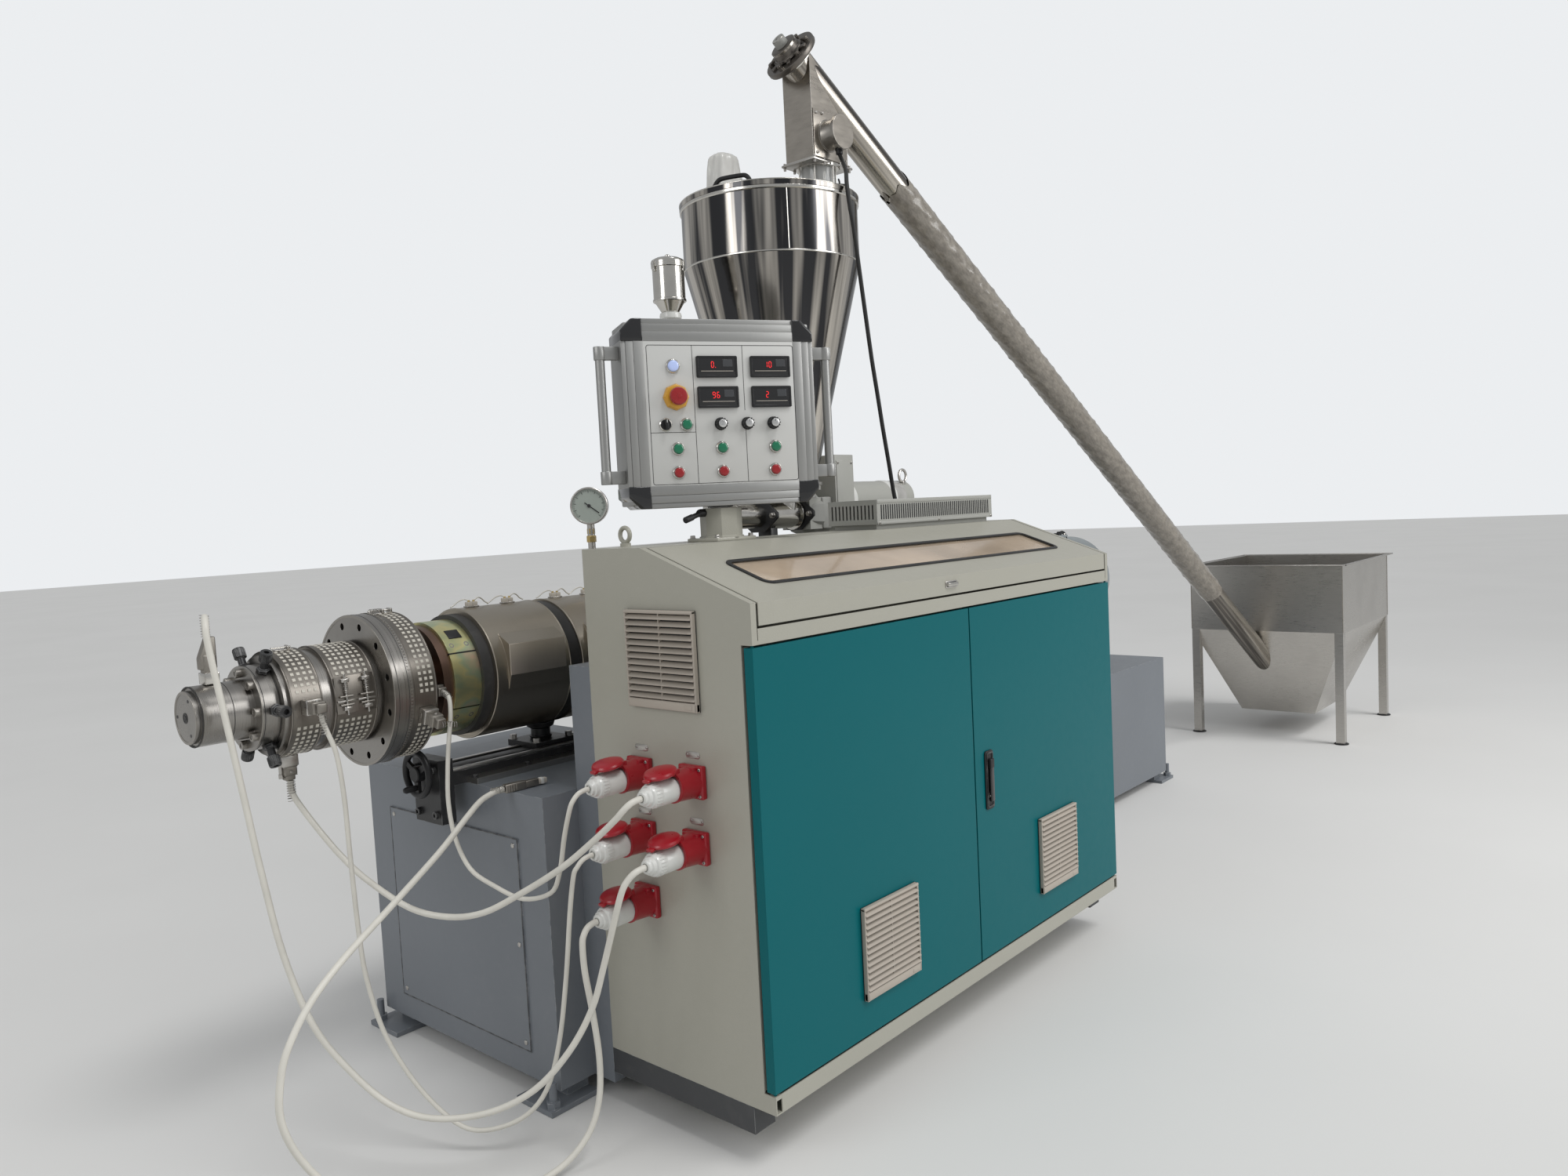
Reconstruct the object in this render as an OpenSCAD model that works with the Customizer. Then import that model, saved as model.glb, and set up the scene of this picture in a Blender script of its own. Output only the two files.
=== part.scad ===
// Conical twin-screw extruder with its electrical cabinet, die head, hopper and screw loader.
// X runs along the machine from the die to the motor, Y from the operator's side to the far
// side, Z up. The origin is the middle of the underside of the die-end foot plate on the
// operator's side.

/* [Cabinet] */
// Length of the cabinet along the machine
cab_l = 1557; // [1300:1:1900]
// Depth of the cabinet
cab_d = 490; // [440:1:560]
// Height of the cabinet's underside above the floor
cab_z0 = 123; // [100:1:160]
// Height of the front edge of the sloping lid
slope_z = 1132; // [1080:1:1160]
// Height of the flat top
cab_top = 1242; // [1200:1:1300]
// Depth of the flat part of the top
flat_d = 187; // [170:1:210]
// Thickness of the sheet walls
wall = 3; // [2:0.5:4]
// Height of the doors' lower edge
door_z0 = 166; // [155:1:180]
// Height of the doors' upper edge
door_z1 = 1046; // [1000:1:1050]
// Width of the left door
door_w = 775; // [650:1:850]
// Thickness of the doors
door_t = 22; // [18:1:26]
// Gap round each moving panel
door_gap = 5; // [5:0.5:7]
// Width of the fixed rim at each end of the sloping lid
lid_rim = 22; // [18:1:30]
// Height of the lid's folded front flange
lid_flange = 45; // [40:1:50]
// Side of a square filter vent
vent_s = 204; // [150:1:220]
// Depth of a filter vent's frame
vent_t = 12; // [8:1:16]

/* [Machine frame] */
// Distance of the screw axis behind the cabinet's front
axis_y = 934; // [920:1:950]
// Height of the screw axis
axis_z = 950; // [930:1:970]
// Width of the machine frame across the machine
frame_w = 747; // [700:1:760]
// Height of the die-end bench top
bench_top = 704; // [680:1:720]
// Overhang of the bench past the cabinet's end
bench_out = 96; // [80:1:120]
// Length of the die-end bench
bench_l = 560; // [500:1:620]
// Height of the frame top under the gearbox and the motor
frame_top = 560; // [520:1:600]
// Length of the whole frame
frame_l = 3420; // [3300:1:3500]
// Ground clearance of the frame
frame_z0 = 40; // [30:1:60]
// Height of the trunk between the cabinet and the barrel
trunk_top = 984; // [960:1:1000]
// Side of a foot plate
foot_s = 130; // [110:1:150]
// Thickness of a foot plate
foot_t = 12; // [10:1:16]

/* [Barrel] */
// Radius of the barrel inside its covers
barrel_r = 110; // [95:1:125]
// Radius of the barrel covers
cover_r = 158; // [150:1:165]
// Length of one barrel cover
cover_l = 217; // [200:1:230]
// Gap between two barrel covers
cover_gap = 36; // [30:1:45]
// Radius of the zinc-plated clamp ring
clamp_r = 135; // [128:1:142]
// Length of the clamp ring
clamp_l = 70; // [60:1:80]
// Radius of the neck between the barrel and the die
neck_r = 56; // [50:1:62]

/* [Die head] */
// Radius of the large flange
flange_r = 170; // [160:1:176]
// Thickness of the large flange
flange_t = 45; // [38:1:52]
// Number of free holes in the large flange
flange_holes = 12; // [8:1:16]
// Radius of a flange hole
flange_hole_r = 8; // [6:0.5:9]
// Radius of the heater bands on the die
band_r = 113; // [110:1:118]
// Radius of the steel die body under the bands
die_r = 106; // [100:1:107]
// Radius of the bolted front flange
nose_r = 89; // [84:1:96]
// Radius of the mandrel sleeve
mandrel_r = 62; // [56:1:68]

/* [Control panel] */
// Width of the control panel
panel_w = 454; // [430:1:480]
// Height of the control panel
panel_h = 420; // [400:1:440]
// Depth of the control panel
panel_d = 120; // [100:1:130]
// Angle of the panel from facing the front
panel_turn = 28.6; // [20:0.1:32]
// Place of the panel post along the cabinet
post_x = 332; // [320:1:360]

/* [Hopper and feeder] */
// Place of the hopper along the machine
hopper_x = 1192; // [1150:1:1230]
// Radius of the hopper
hopper_r = 280; // [265:1:290]
// Height of the hopper rim
hopper_top = 2262; // [2240:1:2300]
// Height of the seam between cylinder and cone
hopper_seam = 2072; // [2060:1:2100]
// Height of the cone's outlet
hopper_out = 1380; // [1370:1:1420]
// Radius of the cone's outlet
hopper_out_r = 105; // [95:1:115]

/* [Loader] */
// Height of the loader's head
head_h = 317; // [300:1:340]
// Radius of the loader tube
tube_r = 51; // [48:1:54]
// Length of the bin
bin_l = 900; // [850:1:950]
// Width of the bin
bin_w = 750; // [700:1:800]
// Height of the bin rim
bin_top = 900; // [880:1:940]

/* [Hidden] */
$fn = 64;

// Frame outline in plan
frame_y0 = axis_y - frame_w / 2;
frame_y1 = axis_y + frame_w / 2;
foot_out = 40;
foot_side = 16;
foot_x = -bench_out + foot_s / 2 - foot_out;
foot_y = frame_y0 + foot_s / 2 - foot_side;

// Everything is measured from the cabinet's front edge at its die end, then moved to the foot
module placed() {
  translate([-foot_x, -foot_y, 0]) children();
}

// A solid of revolution about the screw axis, from x0 to x1
module round_bar(x0, x1, r, hole = 0) {
  translate([x0, axis_y, axis_z]) rotate([0, 90, 0]) difference() {
    cylinder(h = x1 - x0, r = r);
    if (hole > 0) translate([0, 0, -1]) cylinder(h = x1 - x0 + 2, r = hole);
  }
}

// Box from one corner to the other
module block(a, b) {
  translate(a) cube(b - a);
}

// MAIN FRAME
main_x0 = bench_l - bench_out;

module main_frame() placed() color("slategray") {
  block([main_x0, frame_y0, frame_z0], [frame_l - bench_out, frame_y1, frame_top]);
  block([0, cab_d, frame_z0], [cab_l, frame_y0, trunk_top]);
}

panel_t = 3;
panel_y0 = 660;
panel_y1 = 1209;
panel_z0 = 101;
panel_z1 = 598;

module bench() placed() color("slategray") {
  block([-bench_out, frame_y0, frame_z0], [main_x0, frame_y1, bench_top]);
  block([-bench_out - panel_t, panel_y0, panel_z0], [-bench_out, panel_y1, panel_z1]);
}

foot_xs = [foot_x, frame_l - bench_out - foot_s / 2 + foot_out];
foot_ys = [foot_y, frame_y1 - foot_s / 2 + foot_side];
leg_s = 60;

jack_r = 9;
jack_in = 20;
jack_h = 55;

module feet() placed() color("slategray") {
  for (x = foot_xs, y = foot_ys) {
    sx = x == foot_x ? -1 : 1;
    sy = y < axis_y ? -1 : 1;
    translate([x - foot_s / 2, y - foot_s / 2, 0]) cube([foot_s, foot_s, foot_t]);
    translate([x - sx * (foot_out + leg_s - foot_s / 2) - leg_s / 2, y - leg_s / 2, foot_t])
      cube([leg_s, leg_s, frame_z0 - foot_t]);
    translate([x + sx * (foot_s / 2 - jack_in), y + sy * (foot_s / 2 - jack_in), foot_t]) {
      cylinder(h = 14, r = jack_r * 1.8, $fn = 6);
      cylinder(h = jack_h, r = jack_r);
    }
  }
}

// SLIDE UNDER THE BARREL
bed_x0 = -130;
bed_x1 = 440;
bed_w = 110;
bed_y = 905;
bed_top = 735;
plate_t = 38;
plate_z0 = 617;
plate_z1 = 768;

module slide_bed() placed() color("dimgray") {
  block([bed_x0, bed_y - bed_w / 2, bench_top], [bed_x1, bed_y + bed_w / 2, bed_top]);
  block([bed_x0 - plate_t, bed_y - bed_w / 2, plate_z0], [bed_x0, bed_y + bed_w / 2, plate_z1]);
}

ledge_w = 45;
ledge_h = 14;

module slide_ledges() placed() color("silver") {
  for (s = [-1, 1])
    block([-bench_out, bed_y + s * (bed_w / 2 + ledge_w / 2) - ledge_w / 2, bench_top],
          [bed_x1, bed_y + s * (bed_w / 2 + ledge_w / 2) + ledge_w / 2, bench_top + ledge_h]);
}

wheel_r = 58;
wheel_z = 737;
wheel_x = -190;
rim_r = 8;
shaft_gap = 0.05;
shaft_r = 9;

module handwheel() placed() color("black") {
  translate([wheel_x, bed_y, wheel_z]) rotate([0, 90, 0]) {
    rotate_extrude() translate([wheel_r - rim_r, 0]) circle(r = rim_r, $fn = 24);
    for (a = [0, 120, 240]) rotate(a) translate([0, -7, -4]) cube([wheel_r - rim_r, 14, 8]);
    translate([0, 0, -8]) cylinder(h = 22, r = 15);
    cylinder(h = bed_x0 - plate_t - wheel_x - 0.3, r = shaft_r);
  }
}

support_x = 184;
support_r = 25;
support_plate = 120;

module support_post() placed() color("black") {
  translate([support_x - support_plate / 2, axis_y - support_plate / 2, bed_top])
    cube([support_plate, support_plate, 16]);
  translate([support_x, axis_y, bed_top + 16])
    cylinder(h = axis_z - cover_r - bed_top - 16 - 0.3, r = support_r);
}

// BARREL
cover_x0 = -42;
cover_n = 5;
cover_pitch = cover_l + cover_gap;
barrel_x0 = cover_x0 - 28;
barrel_x1 = cover_x0 + cover_n * cover_pitch + 120;
ring_r = cover_r - 4;

module barrel() placed() color("dimgray") {
  round_bar(barrel_x0, barrel_x1, barrel_r);
  round_bar(barrel_x0, cover_x0, ring_r - 8);
  for (i = [1 : cover_n - 1])
    round_bar(cover_x0 + i * cover_pitch - cover_gap, cover_x0 + i * cover_pitch, ring_r);
}

box_out = 8;
box_in = 32;
box_end = 22;
box_top = 75;
box_low = -58;

// Section of a cover in Y and Z about the screw axis: round, with a flat-sided duct on the near side
module cover_section(boxed) {
  circle(r = cover_r);
  if (boxed) polygon([
    [-barrel_r, box_top + 30], [-cover_r - box_out, box_top], [-cover_r - box_out, 0],
    [-cover_r + 12, box_low], [-barrel_r, box_low]]);
}

module barrel_covers() placed() color("rosybrown") {
  for (i = [0 : cover_n - 1])
    translate([cover_x0 + i * cover_pitch, axis_y, axis_z]) difference() {
      union() {
        rotate([90, 0, 90]) linear_extrude(cover_l) cover_section(false);
        translate([box_in, 0, 0]) rotate([90, 0, 90]) linear_extrude(cover_l - box_in - box_end)
          cover_section(true);
      }
      translate([-1, 0, 0]) rotate([0, 90, 0]) cylinder(h = cover_l + 2, r = barrel_r + 0.3);
    }
}

clamp_x0 = barrel_x0 - clamp_l;

slot_z = 64;
slot_t = 3;

// Two-piece clamp ring with its splits above and below the axis
module clamp_ring() placed() color("gold") {
  difference() {
    round_bar(clamp_x0, barrel_x0, clamp_r);
    for (s = [-1, 1])
      translate([clamp_x0 - 1, axis_y - clamp_r - 1, axis_z + s * slot_z])
        cube([clamp_l + 2, 50, slot_t]);
  }
}

brown_t = 24;
neck_x0 = -205;

module clamp_flange() placed() color("saddlebrown") {
  round_bar(clamp_x0 - brown_t, clamp_x0, clamp_r - 6);
  round_bar(neck_x0, clamp_x0 - brown_t, neck_r);
}

// DIE HEAD
flange_heater_l = 60;
flange_x1 = neck_x0 - flange_heater_l;
flange_x0 = flange_x1 - flange_t;
flange_pcd = 2 * (flange_r - 22);

module die_flange() placed() color("silver") {
  difference() {
    round_bar(flange_x0, flange_x1, flange_r);
    for (i = [0 : flange_holes - 1])
      translate([flange_x0 - 1, axis_y, axis_z]) rotate([0, 90, 0])
        rotate(360 / flange_holes * (i + 0.5)) translate([flange_pcd / 2, 0, 0])
          cylinder(h = 25 + 1, r = flange_hole_r);
  }
}

module flange_heater() placed() color("darkgray") {
  round_bar(flange_x1, neck_x0, flange_r - 4);
}

band_rear_l = 97;
band_front_l = 68;
band_split = 25;
band_rear_x0 = flange_x0 - 8 - band_rear_l;
band_front_x0 = band_rear_x0 - band_split - band_front_l;
die_x0 = band_front_x0 - 10;

module die_body() placed() color("gray") {
  round_bar(die_x0, flange_x0, die_r);
}

module heater_bands() placed() color("silver") {
  round_bar(band_front_x0, band_front_x0 + band_front_l, band_r, die_r + 0.1);
  round_bar(band_rear_x0, band_rear_x0 + band_rear_l, band_r, die_r + 0.1);
}

nose_x0 = -557;
bolt_x = nose_x0 + 28;

module centring_bolts() placed() color("black") {
  for (a = [0 : 60 : 300])
    translate([bolt_x, axis_y, axis_z]) rotate([a + 30, 0, 0]) translate([0, 0, nose_r + 0.1]) {
      cylinder(h = 40, r = 8);
      translate([0, 0, 26]) cylinder(h = 22, r = 12);
    }
}

cap_x0 = -670;

nose_bolts = 8;
nose_bolt_r = 75;

module mandrel() placed() color("silver") {
  round_bar(nose_x0, die_x0, nose_r);
  round_bar(cap_x0 + 12, nose_x0, mandrel_r);
  round_bar(cap_x0, cap_x0 + 12, mandrel_r - 8);
  for (a = [0 : 360 / nose_bolts : 359])
    translate([nose_x0, axis_y, axis_z]) rotate([a, 0, 0]) translate([-10, 0, nose_bolt_r])
      rotate([0, 90, 0]) cylinder(h = 11, r = 9);
}

// A heater's socket box and, on it, the plug with its side outlet
module connector(l, w, h, plug_h) {
  translate([-l / 2, -w / 2, 0]) cube([l, w, h]);
  translate([-l / 2 + 3, -w / 2 + 4, h]) cube([l - 6, w - 8, plug_h]);
}

band_plug_x = band_front_x0 + 37;
flange_plug_x = -233;
ring_plug_x = -182;
cap_plug_x = -618;

module heater_connectors() placed() color("gray") {
  translate([band_plug_x, axis_y - band_r - 0.1, axis_z]) rotate([90, 0, 0]) connector(34, 30, 26, 34);
  translate([flange_plug_x, axis_y, axis_z]) rotate([108, 0, 0])
    translate([0, 0, flange_r - 3.9]) connector(34, 34, 26, 40);
  translate([ring_plug_x, axis_y, axis_z]) rotate([95, 0, 0])
    translate([0, 0, neck_r + 0.1]) connector(26, 26, 70, 24);
  translate([cap_plug_x, axis_y, axis_z + mandrel_r + 0.1]) connector(30, 30, 24, 72);
  translate([band_front_x0 + 34, axis_y, axis_z - band_r - 0.1]) mirror([0, 0, 1]) connector(34, 30, 26, 30);
}

// GEARBOX AND MOTOR
gear_x0 = barrel_x1;
gear_l = 880;
gear_w = 620;
gear_h = 640;

gear_split = 390;
gear_rim = 24;

module gearbox() placed() color("slategray") {
  y0 = axis_y - gear_w / 2;
  y1 = axis_y + gear_w / 2;
  block([gear_x0, y0 + gear_rim, frame_top], [gear_x0 + gear_l, y1 - gear_rim, frame_top + gear_h]);
  block([gear_x0, y0, frame_top + gear_split - gear_rim],
        [gear_x0 + gear_l, y1, frame_top + gear_split + gear_rim]);
  block([gear_x0, y0, frame_top], [gear_x0 + gear_l, y1, frame_top + gear_rim]);
}

motor_r = 190;
motor_l = 600;
motor_x1 = 3200;
motor_x0 = motor_x1 - motor_l;
motor_z = axis_z - 18;
terminal_x = motor_x0 + 200;
coupling_r = 110;

shield_l = 60;
foot_w = 320;
box_w = 180;

// A round bar on the motor's own axis
module motor_bar(x0, x1, r) {
  translate([0, 0, motor_z - axis_z]) round_bar(x0, x1, r);
}

module main_motor() placed() color("slategray") {
  motor_bar(motor_x0, motor_x0 + shield_l, motor_r);
  motor_bar(motor_x0 + shield_l, motor_x1 - 2 * shield_l, motor_r - 14);
  motor_bar(motor_x1 - 2 * shield_l, motor_x1, motor_r - 4);
  block([terminal_x, axis_y - box_w / 2, motor_z + 140],
        [terminal_x + box_w, axis_y + box_w / 2, motor_z + 203]);
}

motor_foot_l = 80;

module motor_feet() placed() color("slategray") {
  motor_bar(gear_x0 + gear_l, motor_x0, coupling_r);
  for (x = [motor_x0 + 80, motor_x1 - 220])
    difference() {
      block([x, axis_y - foot_w / 2, frame_top], [x + motor_foot_l, axis_y + foot_w / 2, motor_z - 60]);
      motor_bar(x - 1, x + motor_foot_l + 1, motor_r - 13.9);
    }
}

// VACUUM GAUGE AND VENT CUP
pipe_z0 = axis_z + cover_r + 0.2;
gauge_x = 391;
gauge_z = 1344;
gauge_r = 50;

gauge_turn = 45;

module vacuum_gauge() placed() color("silver") {
  translate([gauge_x, axis_y, pipe_z0]) cylinder(h = gauge_z - gauge_r + 2 - pipe_z0, r = 10);
  translate([gauge_x, axis_y, gauge_z]) rotate([0, 0, -gauge_turn]) rotate([90, 0, 0])
    translate([0, 0, -16]) cylinder(h = 32, r = gauge_r);
}

cup_x = 733;
cup_z0 = 1881;
cup_z1 = 2037;
cup_r = 46;
cup_pipe_r = 17;
elbow_r = 20;
cup_drop_x = 845;
cup_bend_z = 1480;

module vent_cup() placed() color("silver") {
  translate([cup_drop_x, axis_y, pipe_z0]) cylinder(h = cup_bend_z - pipe_z0, r = cup_pipe_r);
  translate([cup_x, axis_y, cup_bend_z]) rotate([0, 90, 0]) cylinder(h = cup_drop_x - cup_x, r = cup_pipe_r);
  for (x = [cup_x, cup_drop_x]) translate([x, axis_y, cup_bend_z]) sphere(r = elbow_r);
  translate([cup_x, axis_y, cup_bend_z]) cylinder(h = cup_z0 + 1 - cup_bend_z, r = cup_pipe_r);
  translate([cup_x, axis_y, cup_z0]) {
    cylinder(h = 46, r1 = 18, r2 = cup_r);
    translate([0, 0, 46]) cylinder(h = cup_z1 - cup_z0 - 46, r = cup_r);
  }
}

// HOPPER AND FEEDER
shell_t = 3;

module hopper_shell() placed() color("silver") {
  translate([hopper_x, axis_y, 0]) rotate_extrude() polygon([
    [hopper_out_r, hopper_out], [hopper_r, hopper_seam], [hopper_r, hopper_top],
    [hopper_r - shell_t, hopper_top], [hopper_r - shell_t, hopper_seam + 1],
    [hopper_out_r - shell_t, hopper_out]]);
}

lid_t = 16;

module hopper_lid() placed() color("silver") {
  translate([hopper_x, axis_y, hopper_top]) cylinder(h = lid_t, r = hopper_r + 5);
}

sock_r = 70;
sock_top_r = 55;
sock_body = 131;
sock_x = -60;
sock_y = 130;

module vent_sock() placed() color("gainsboro") {
  translate([hopper_x + sock_x, axis_y + sock_y, hopper_top + lid_t]) {
    cylinder(h = sock_body, r1 = sock_r, r2 = sock_top_r);
    translate([0, 0, sock_body]) sphere(r = sock_top_r);
  }
}

feeder_r = 44;
feeder_z = hopper_out - 88;
feeder_x0 = 1065;
feeder_x1 = 1250;
inlet_x = 912;
inlet_r = 38;
drop_r = 32;
neck_t = 14;

module feeder_body() placed() color("silver") {
  translate([feeder_x0, axis_y, feeder_z]) rotate([0, 90, 0])
    cylinder(h = feeder_x1 - feeder_x0, r = feeder_r);
  translate([inlet_x - drop_r, axis_y, feeder_z]) rotate([0, 90, 0])
    cylinder(h = feeder_x0 - inlet_x + drop_r + 1, r = inlet_r);
  translate([inlet_x, axis_y, pipe_z0]) cylinder(h = feeder_z - pipe_z0, r = drop_r);
  translate([hopper_x, axis_y, feeder_z]) cylinder(h = hopper_out - feeder_z - neck_t, r = feeder_r - 2);
  translate([hopper_x, axis_y, hopper_out - neck_t]) cylinder(h = neck_t, r = hopper_out_r + 20);
}

drive_plate = 110;
drive_box = 100;
drive_side = 84;
drive_z0 = feeder_z - 52;
drive_z1 = feeder_z + 188;
drive_motor_r = 62;
drive_motor_z = feeder_z + 40;
drive_motor_l = 390;

module feeder_drive() placed() color("darkgray") {
  x0 = feeder_x1;
  x1 = feeder_x1 + drive_plate;
  x2 = x1 + drive_box;
  block([x0, axis_y - 60, drive_z0], [x1, axis_y + 60, feeder_z + 50]);
  block([x1, axis_y - drive_side, drive_z0], [x2, axis_y + drive_side, drive_z1]);
  translate([x2, axis_y, drive_motor_z]) rotate([0, 90, 0]) cylinder(h = drive_motor_l, r = drive_motor_r);
  block([x1, axis_y - 50, frame_top + gear_h], [x2, axis_y + 50, drive_z0]);
}

// SCREW LOADER
loader_y = 848;
head_x0 = 1254;
head_x1 = 1427;
head_w = 112;
spool_h = 125;
head_z0 = hopper_top + lid_t + spool_h;
loader_top_z = head_z0 + head_h;
tube_top = [1242, loader_y, loader_top_z];
tube_low = [4756, 460, 202];
tube_v = tube_low - tube_top;
tube_len = norm(tube_v);
tube_tilt = acos(tube_v[2] / tube_len);
tube_turn = atan2(tube_v[1], tube_v[0]);

// Puts its child's Z axis along the loader tube, at a distance from the upper end
module on_tube(d) {
  translate(tube_top) rotate([0, 0, tube_turn]) rotate([0, tube_tilt, 0])
    translate([0, 0, d]) children();
}

end_r = 88;
end_t = 16;
bearing_r = 44;
bearing_h = 34;
end_bolts = 6;

module loader_tube() placed() color("silver") {
  on_tube(0) cylinder(h = tube_len, r = tube_r);
  on_tube(-end_t) cylinder(h = end_t + 1, r = end_r);
  on_tube(-end_t - bearing_h) cylinder(h = bearing_h + 1, r = bearing_r);
  on_tube(-end_t - bearing_h - 26) cylinder(h = 27, r = 20);
  for (a = [0 : 360 / end_bolts : 359])
    on_tube(-end_t - 12) rotate(a) translate([(end_r + bearing_r) / 2, 0, 0])
      cylinder(h = 13, r = 9, $fn = 6);
}

wrap_d0 = 560;
wrap_d1 = 3300;

module loader_wrap() placed() color("gainsboro") {
  on_tube(wrap_d0) difference() {
    cylinder(h = wrap_d1 - wrap_d0, r = tube_r + 6);
    translate([0, 0, -1]) cylinder(h = wrap_d1 - wrap_d0 + 2, r = tube_r);
  }
}

stub_r = 53;
stub_l = 60;
stub_x = 1329;
stub_z = head_z0 + 81;
cheek = 15;

module loader_head() placed() color("silver") {
  difference() {
    union() {
      block([head_x0, loader_y - head_w / 2, head_z0], [head_x1, loader_y + head_w / 2, loader_top_z]);
      translate([stub_x, loader_y - head_w / 2 + 1, stub_z]) rotate([90, 0, 0])
        cylinder(h = stub_l, r = stub_r - 8);
      translate([stub_x, loader_y - head_w / 2 - stub_l + 6, stub_z]) rotate([90, 0, 0])
        cylinder(h = 8, r = stub_r);
    }
    on_tube(-tube_r) translate([0, 0, tube_len / 2])
      cylinder(h = tube_len + 4 * tube_r, r = tube_r + 0.2, center = true);
    on_tube(-2 * tube_r) translate([-8 * tube_r - cheek, -head_w, 0])
      cube([8 * tube_r, 2 * head_w, tube_len]);
    on_tube(-6 * tube_r) translate([-4 * tube_r, -head_w, 0])
      cube([8 * tube_r, 2 * head_w, 6 * tube_r + 0.3]);
  }
}

spool_r = 55;

module loader_spool() placed() color("silver") {
  translate([(head_x0 + head_x1) / 2, loader_y, hopper_top + lid_t]) {
    cylinder(h = spool_h, r = spool_r);
    translate([0, 0, spool_h - 10]) cylinder(h = 10, r = spool_r + 14);
    cylinder(h = 8, r = spool_r + 14);
  }
}

bin_x0 = 4378;
bin_y0 = 77;
bin_cone = 560;
bin_t = 3;
bin_floor = 110;
bin_in = 190;
bin_rim = 25;

// The bin's space: a box above a hopper-shaped lower part
module bin_space(inset) {
  translate([bin_x0 + inset, bin_y0 + inset, bin_cone])
    cube([bin_l - 2 * inset, bin_w - 2 * inset, bin_top - bin_cone + inset]);
  intersection() {
    translate([bin_x0 + inset, bin_y0 + inset, bin_floor + inset])
      cube([bin_l - 2 * inset, bin_w - 2 * inset, bin_cone - bin_floor - inset + 1]);
    translate([bin_x0, bin_y0 + inset, 0]) rotate([90, 0, 0]) mirror([0, 0, 1])
      linear_extrude(bin_w - 2 * inset) polygon([
        [bin_in + inset, bin_floor], [inset, bin_cone], [inset, bin_cone + 2],
        [bin_l - inset, bin_cone + 2], [bin_l - inset, bin_cone], [bin_l - bin_in - inset, bin_floor]]);
    translate([bin_x0 + inset, bin_y0, 0]) rotate([90, 0, 90]) linear_extrude(bin_l - 2 * inset) polygon([
        [bin_in + inset, bin_floor], [inset, bin_cone], [inset, bin_cone + 2],
        [bin_w - inset, bin_cone + 2], [bin_w - inset, bin_cone], [bin_w - bin_in - inset, bin_floor]]);
  }
}

module loader_bin() placed() color("silver") {
  difference() {
    union() {
      bin_space(0);
      block([bin_x0 - bin_rim, bin_y0 - bin_rim, bin_top - bin_t],
            [bin_x0 + bin_l + bin_rim, bin_y0 + bin_w + bin_rim, bin_top]);
    }
    bin_space(bin_t);
    on_tube(0) cylinder(h = tube_len + 1, r = tube_r + 0.2);
  }
}

bin_leg = 40;

module bin_legs() placed() color("silver") {
  for (x = [bin_x0, bin_x0 + bin_l - bin_leg], y = [bin_y0, bin_y0 + bin_w - bin_leg])
    difference() {
      block([x, y, 0], [x + bin_leg, y + bin_leg, bin_cone]);
      bin_space(-0.3);
    }
}

// CABINET
slope_y = cab_d - flat_d;
band_gap = door_gap;
strip_z1 = slope_z - lid_flange - band_gap;
// Recess behind the doors
door_back = door_t + 7;
// Pivot pins of the doors, near their outer front corners
pivot_in = 7;
pivot_r = 3;
pivot_fit = 0.05;
lug_s = 18;
lug_t = 8;

// A lug with a bore for a door's pin, at one height
module pivot_lug(x, z) {
  difference() {
    translate([x - (x < cab_l / 2 ? pivot_in : lug_s - pivot_in), 0, z]) cube([lug_s, lug_s, lug_t]);
    translate([x, pivot_in, z - 1]) cylinder(h = lug_t + 2, r = pivot_r + pivot_fit);
  }
}

// Side outline of the cabinet, in Y and Z, with the doors and the lid cut away
module side_outline() {
  polygon([
    [0, cab_z0], [0, door_z0 - band_gap], [door_back, door_z0 - band_gap],
    [door_back, door_z1 + band_gap], [0, door_z1 + band_gap],
    [0, slope_z], [slope_y, cab_top], [cab_d, cab_top], [cab_d, cab_z0]]);
}

module side_sheet(x) {
  translate([x, 0, 0]) rotate([90, 0, 90]) linear_extrude(wall) side_outline();
}

slope_a = atan2(cab_top - slope_z, slope_y);
slope_len = norm([slope_y, cab_top - slope_z]);

// Puts its child on the slope, with Y up the slope and Z out of it
module on_slope() {
  translate([0, 0, slope_z]) rotate([slope_a, 0, 0]) children();
}

// The end frame of the cabinet: sheet, return behind the door, rim beside the lid, pivot lugs
module end_frame(x, side) {
  inner = side * (lid_rim - door_gap);
  pin_x = x + side * pivot_in;
  side_sheet(side > 0 ? x : x - wall);
  block([min(x, x + side * (wall + 20)), door_back, door_z0],
        [max(x, x + side * (wall + 20)), door_back + wall, door_z1]);
  on_slope() block([min(x, x + inner), 0, -wall], [max(x, x + inner), slope_len, 0]);
  block([min(x + side, x + inner - side), 0, door_z1 + band_gap + lug_t - 1],
        [max(x + side, x + inner - side), wall + 1, slope_z - 1]);
  pivot_lug(pin_x, door_z1 + band_gap);
  pivot_lug(pin_x, door_z0 - band_gap - lug_t);
  difference() {
    translate([0, slope_y - hinge_back, cab_top - hinge_down]) rotate([0, 90, 0])
      translate([0, 0, min(x, x + inner)]) cylinder(h = abs(inner), r = 7);
    translate([0, slope_y - hinge_back, cab_top - hinge_down]) rotate([0, 90, 0])
      translate([0, 0, min(x, x + inner) - 1]) cylinder(h = abs(inner) + 2, r = hinge_r + pivot_fit);
  }
}

hinge_back = 12;
hinge_down = 12;
hinge_r = 3;

module cabinet_left() placed() color("beige") {
  end_frame(0, 1);
}

module cabinet_right() placed() color("beige") {
  end_frame(cab_l, -1);
}

// A strip across the front, between the lugs
module front_strip(z0, z1) {
  block([lug_s, 0, z0], [cab_l - lug_s, wall, z1]);
}

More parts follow.
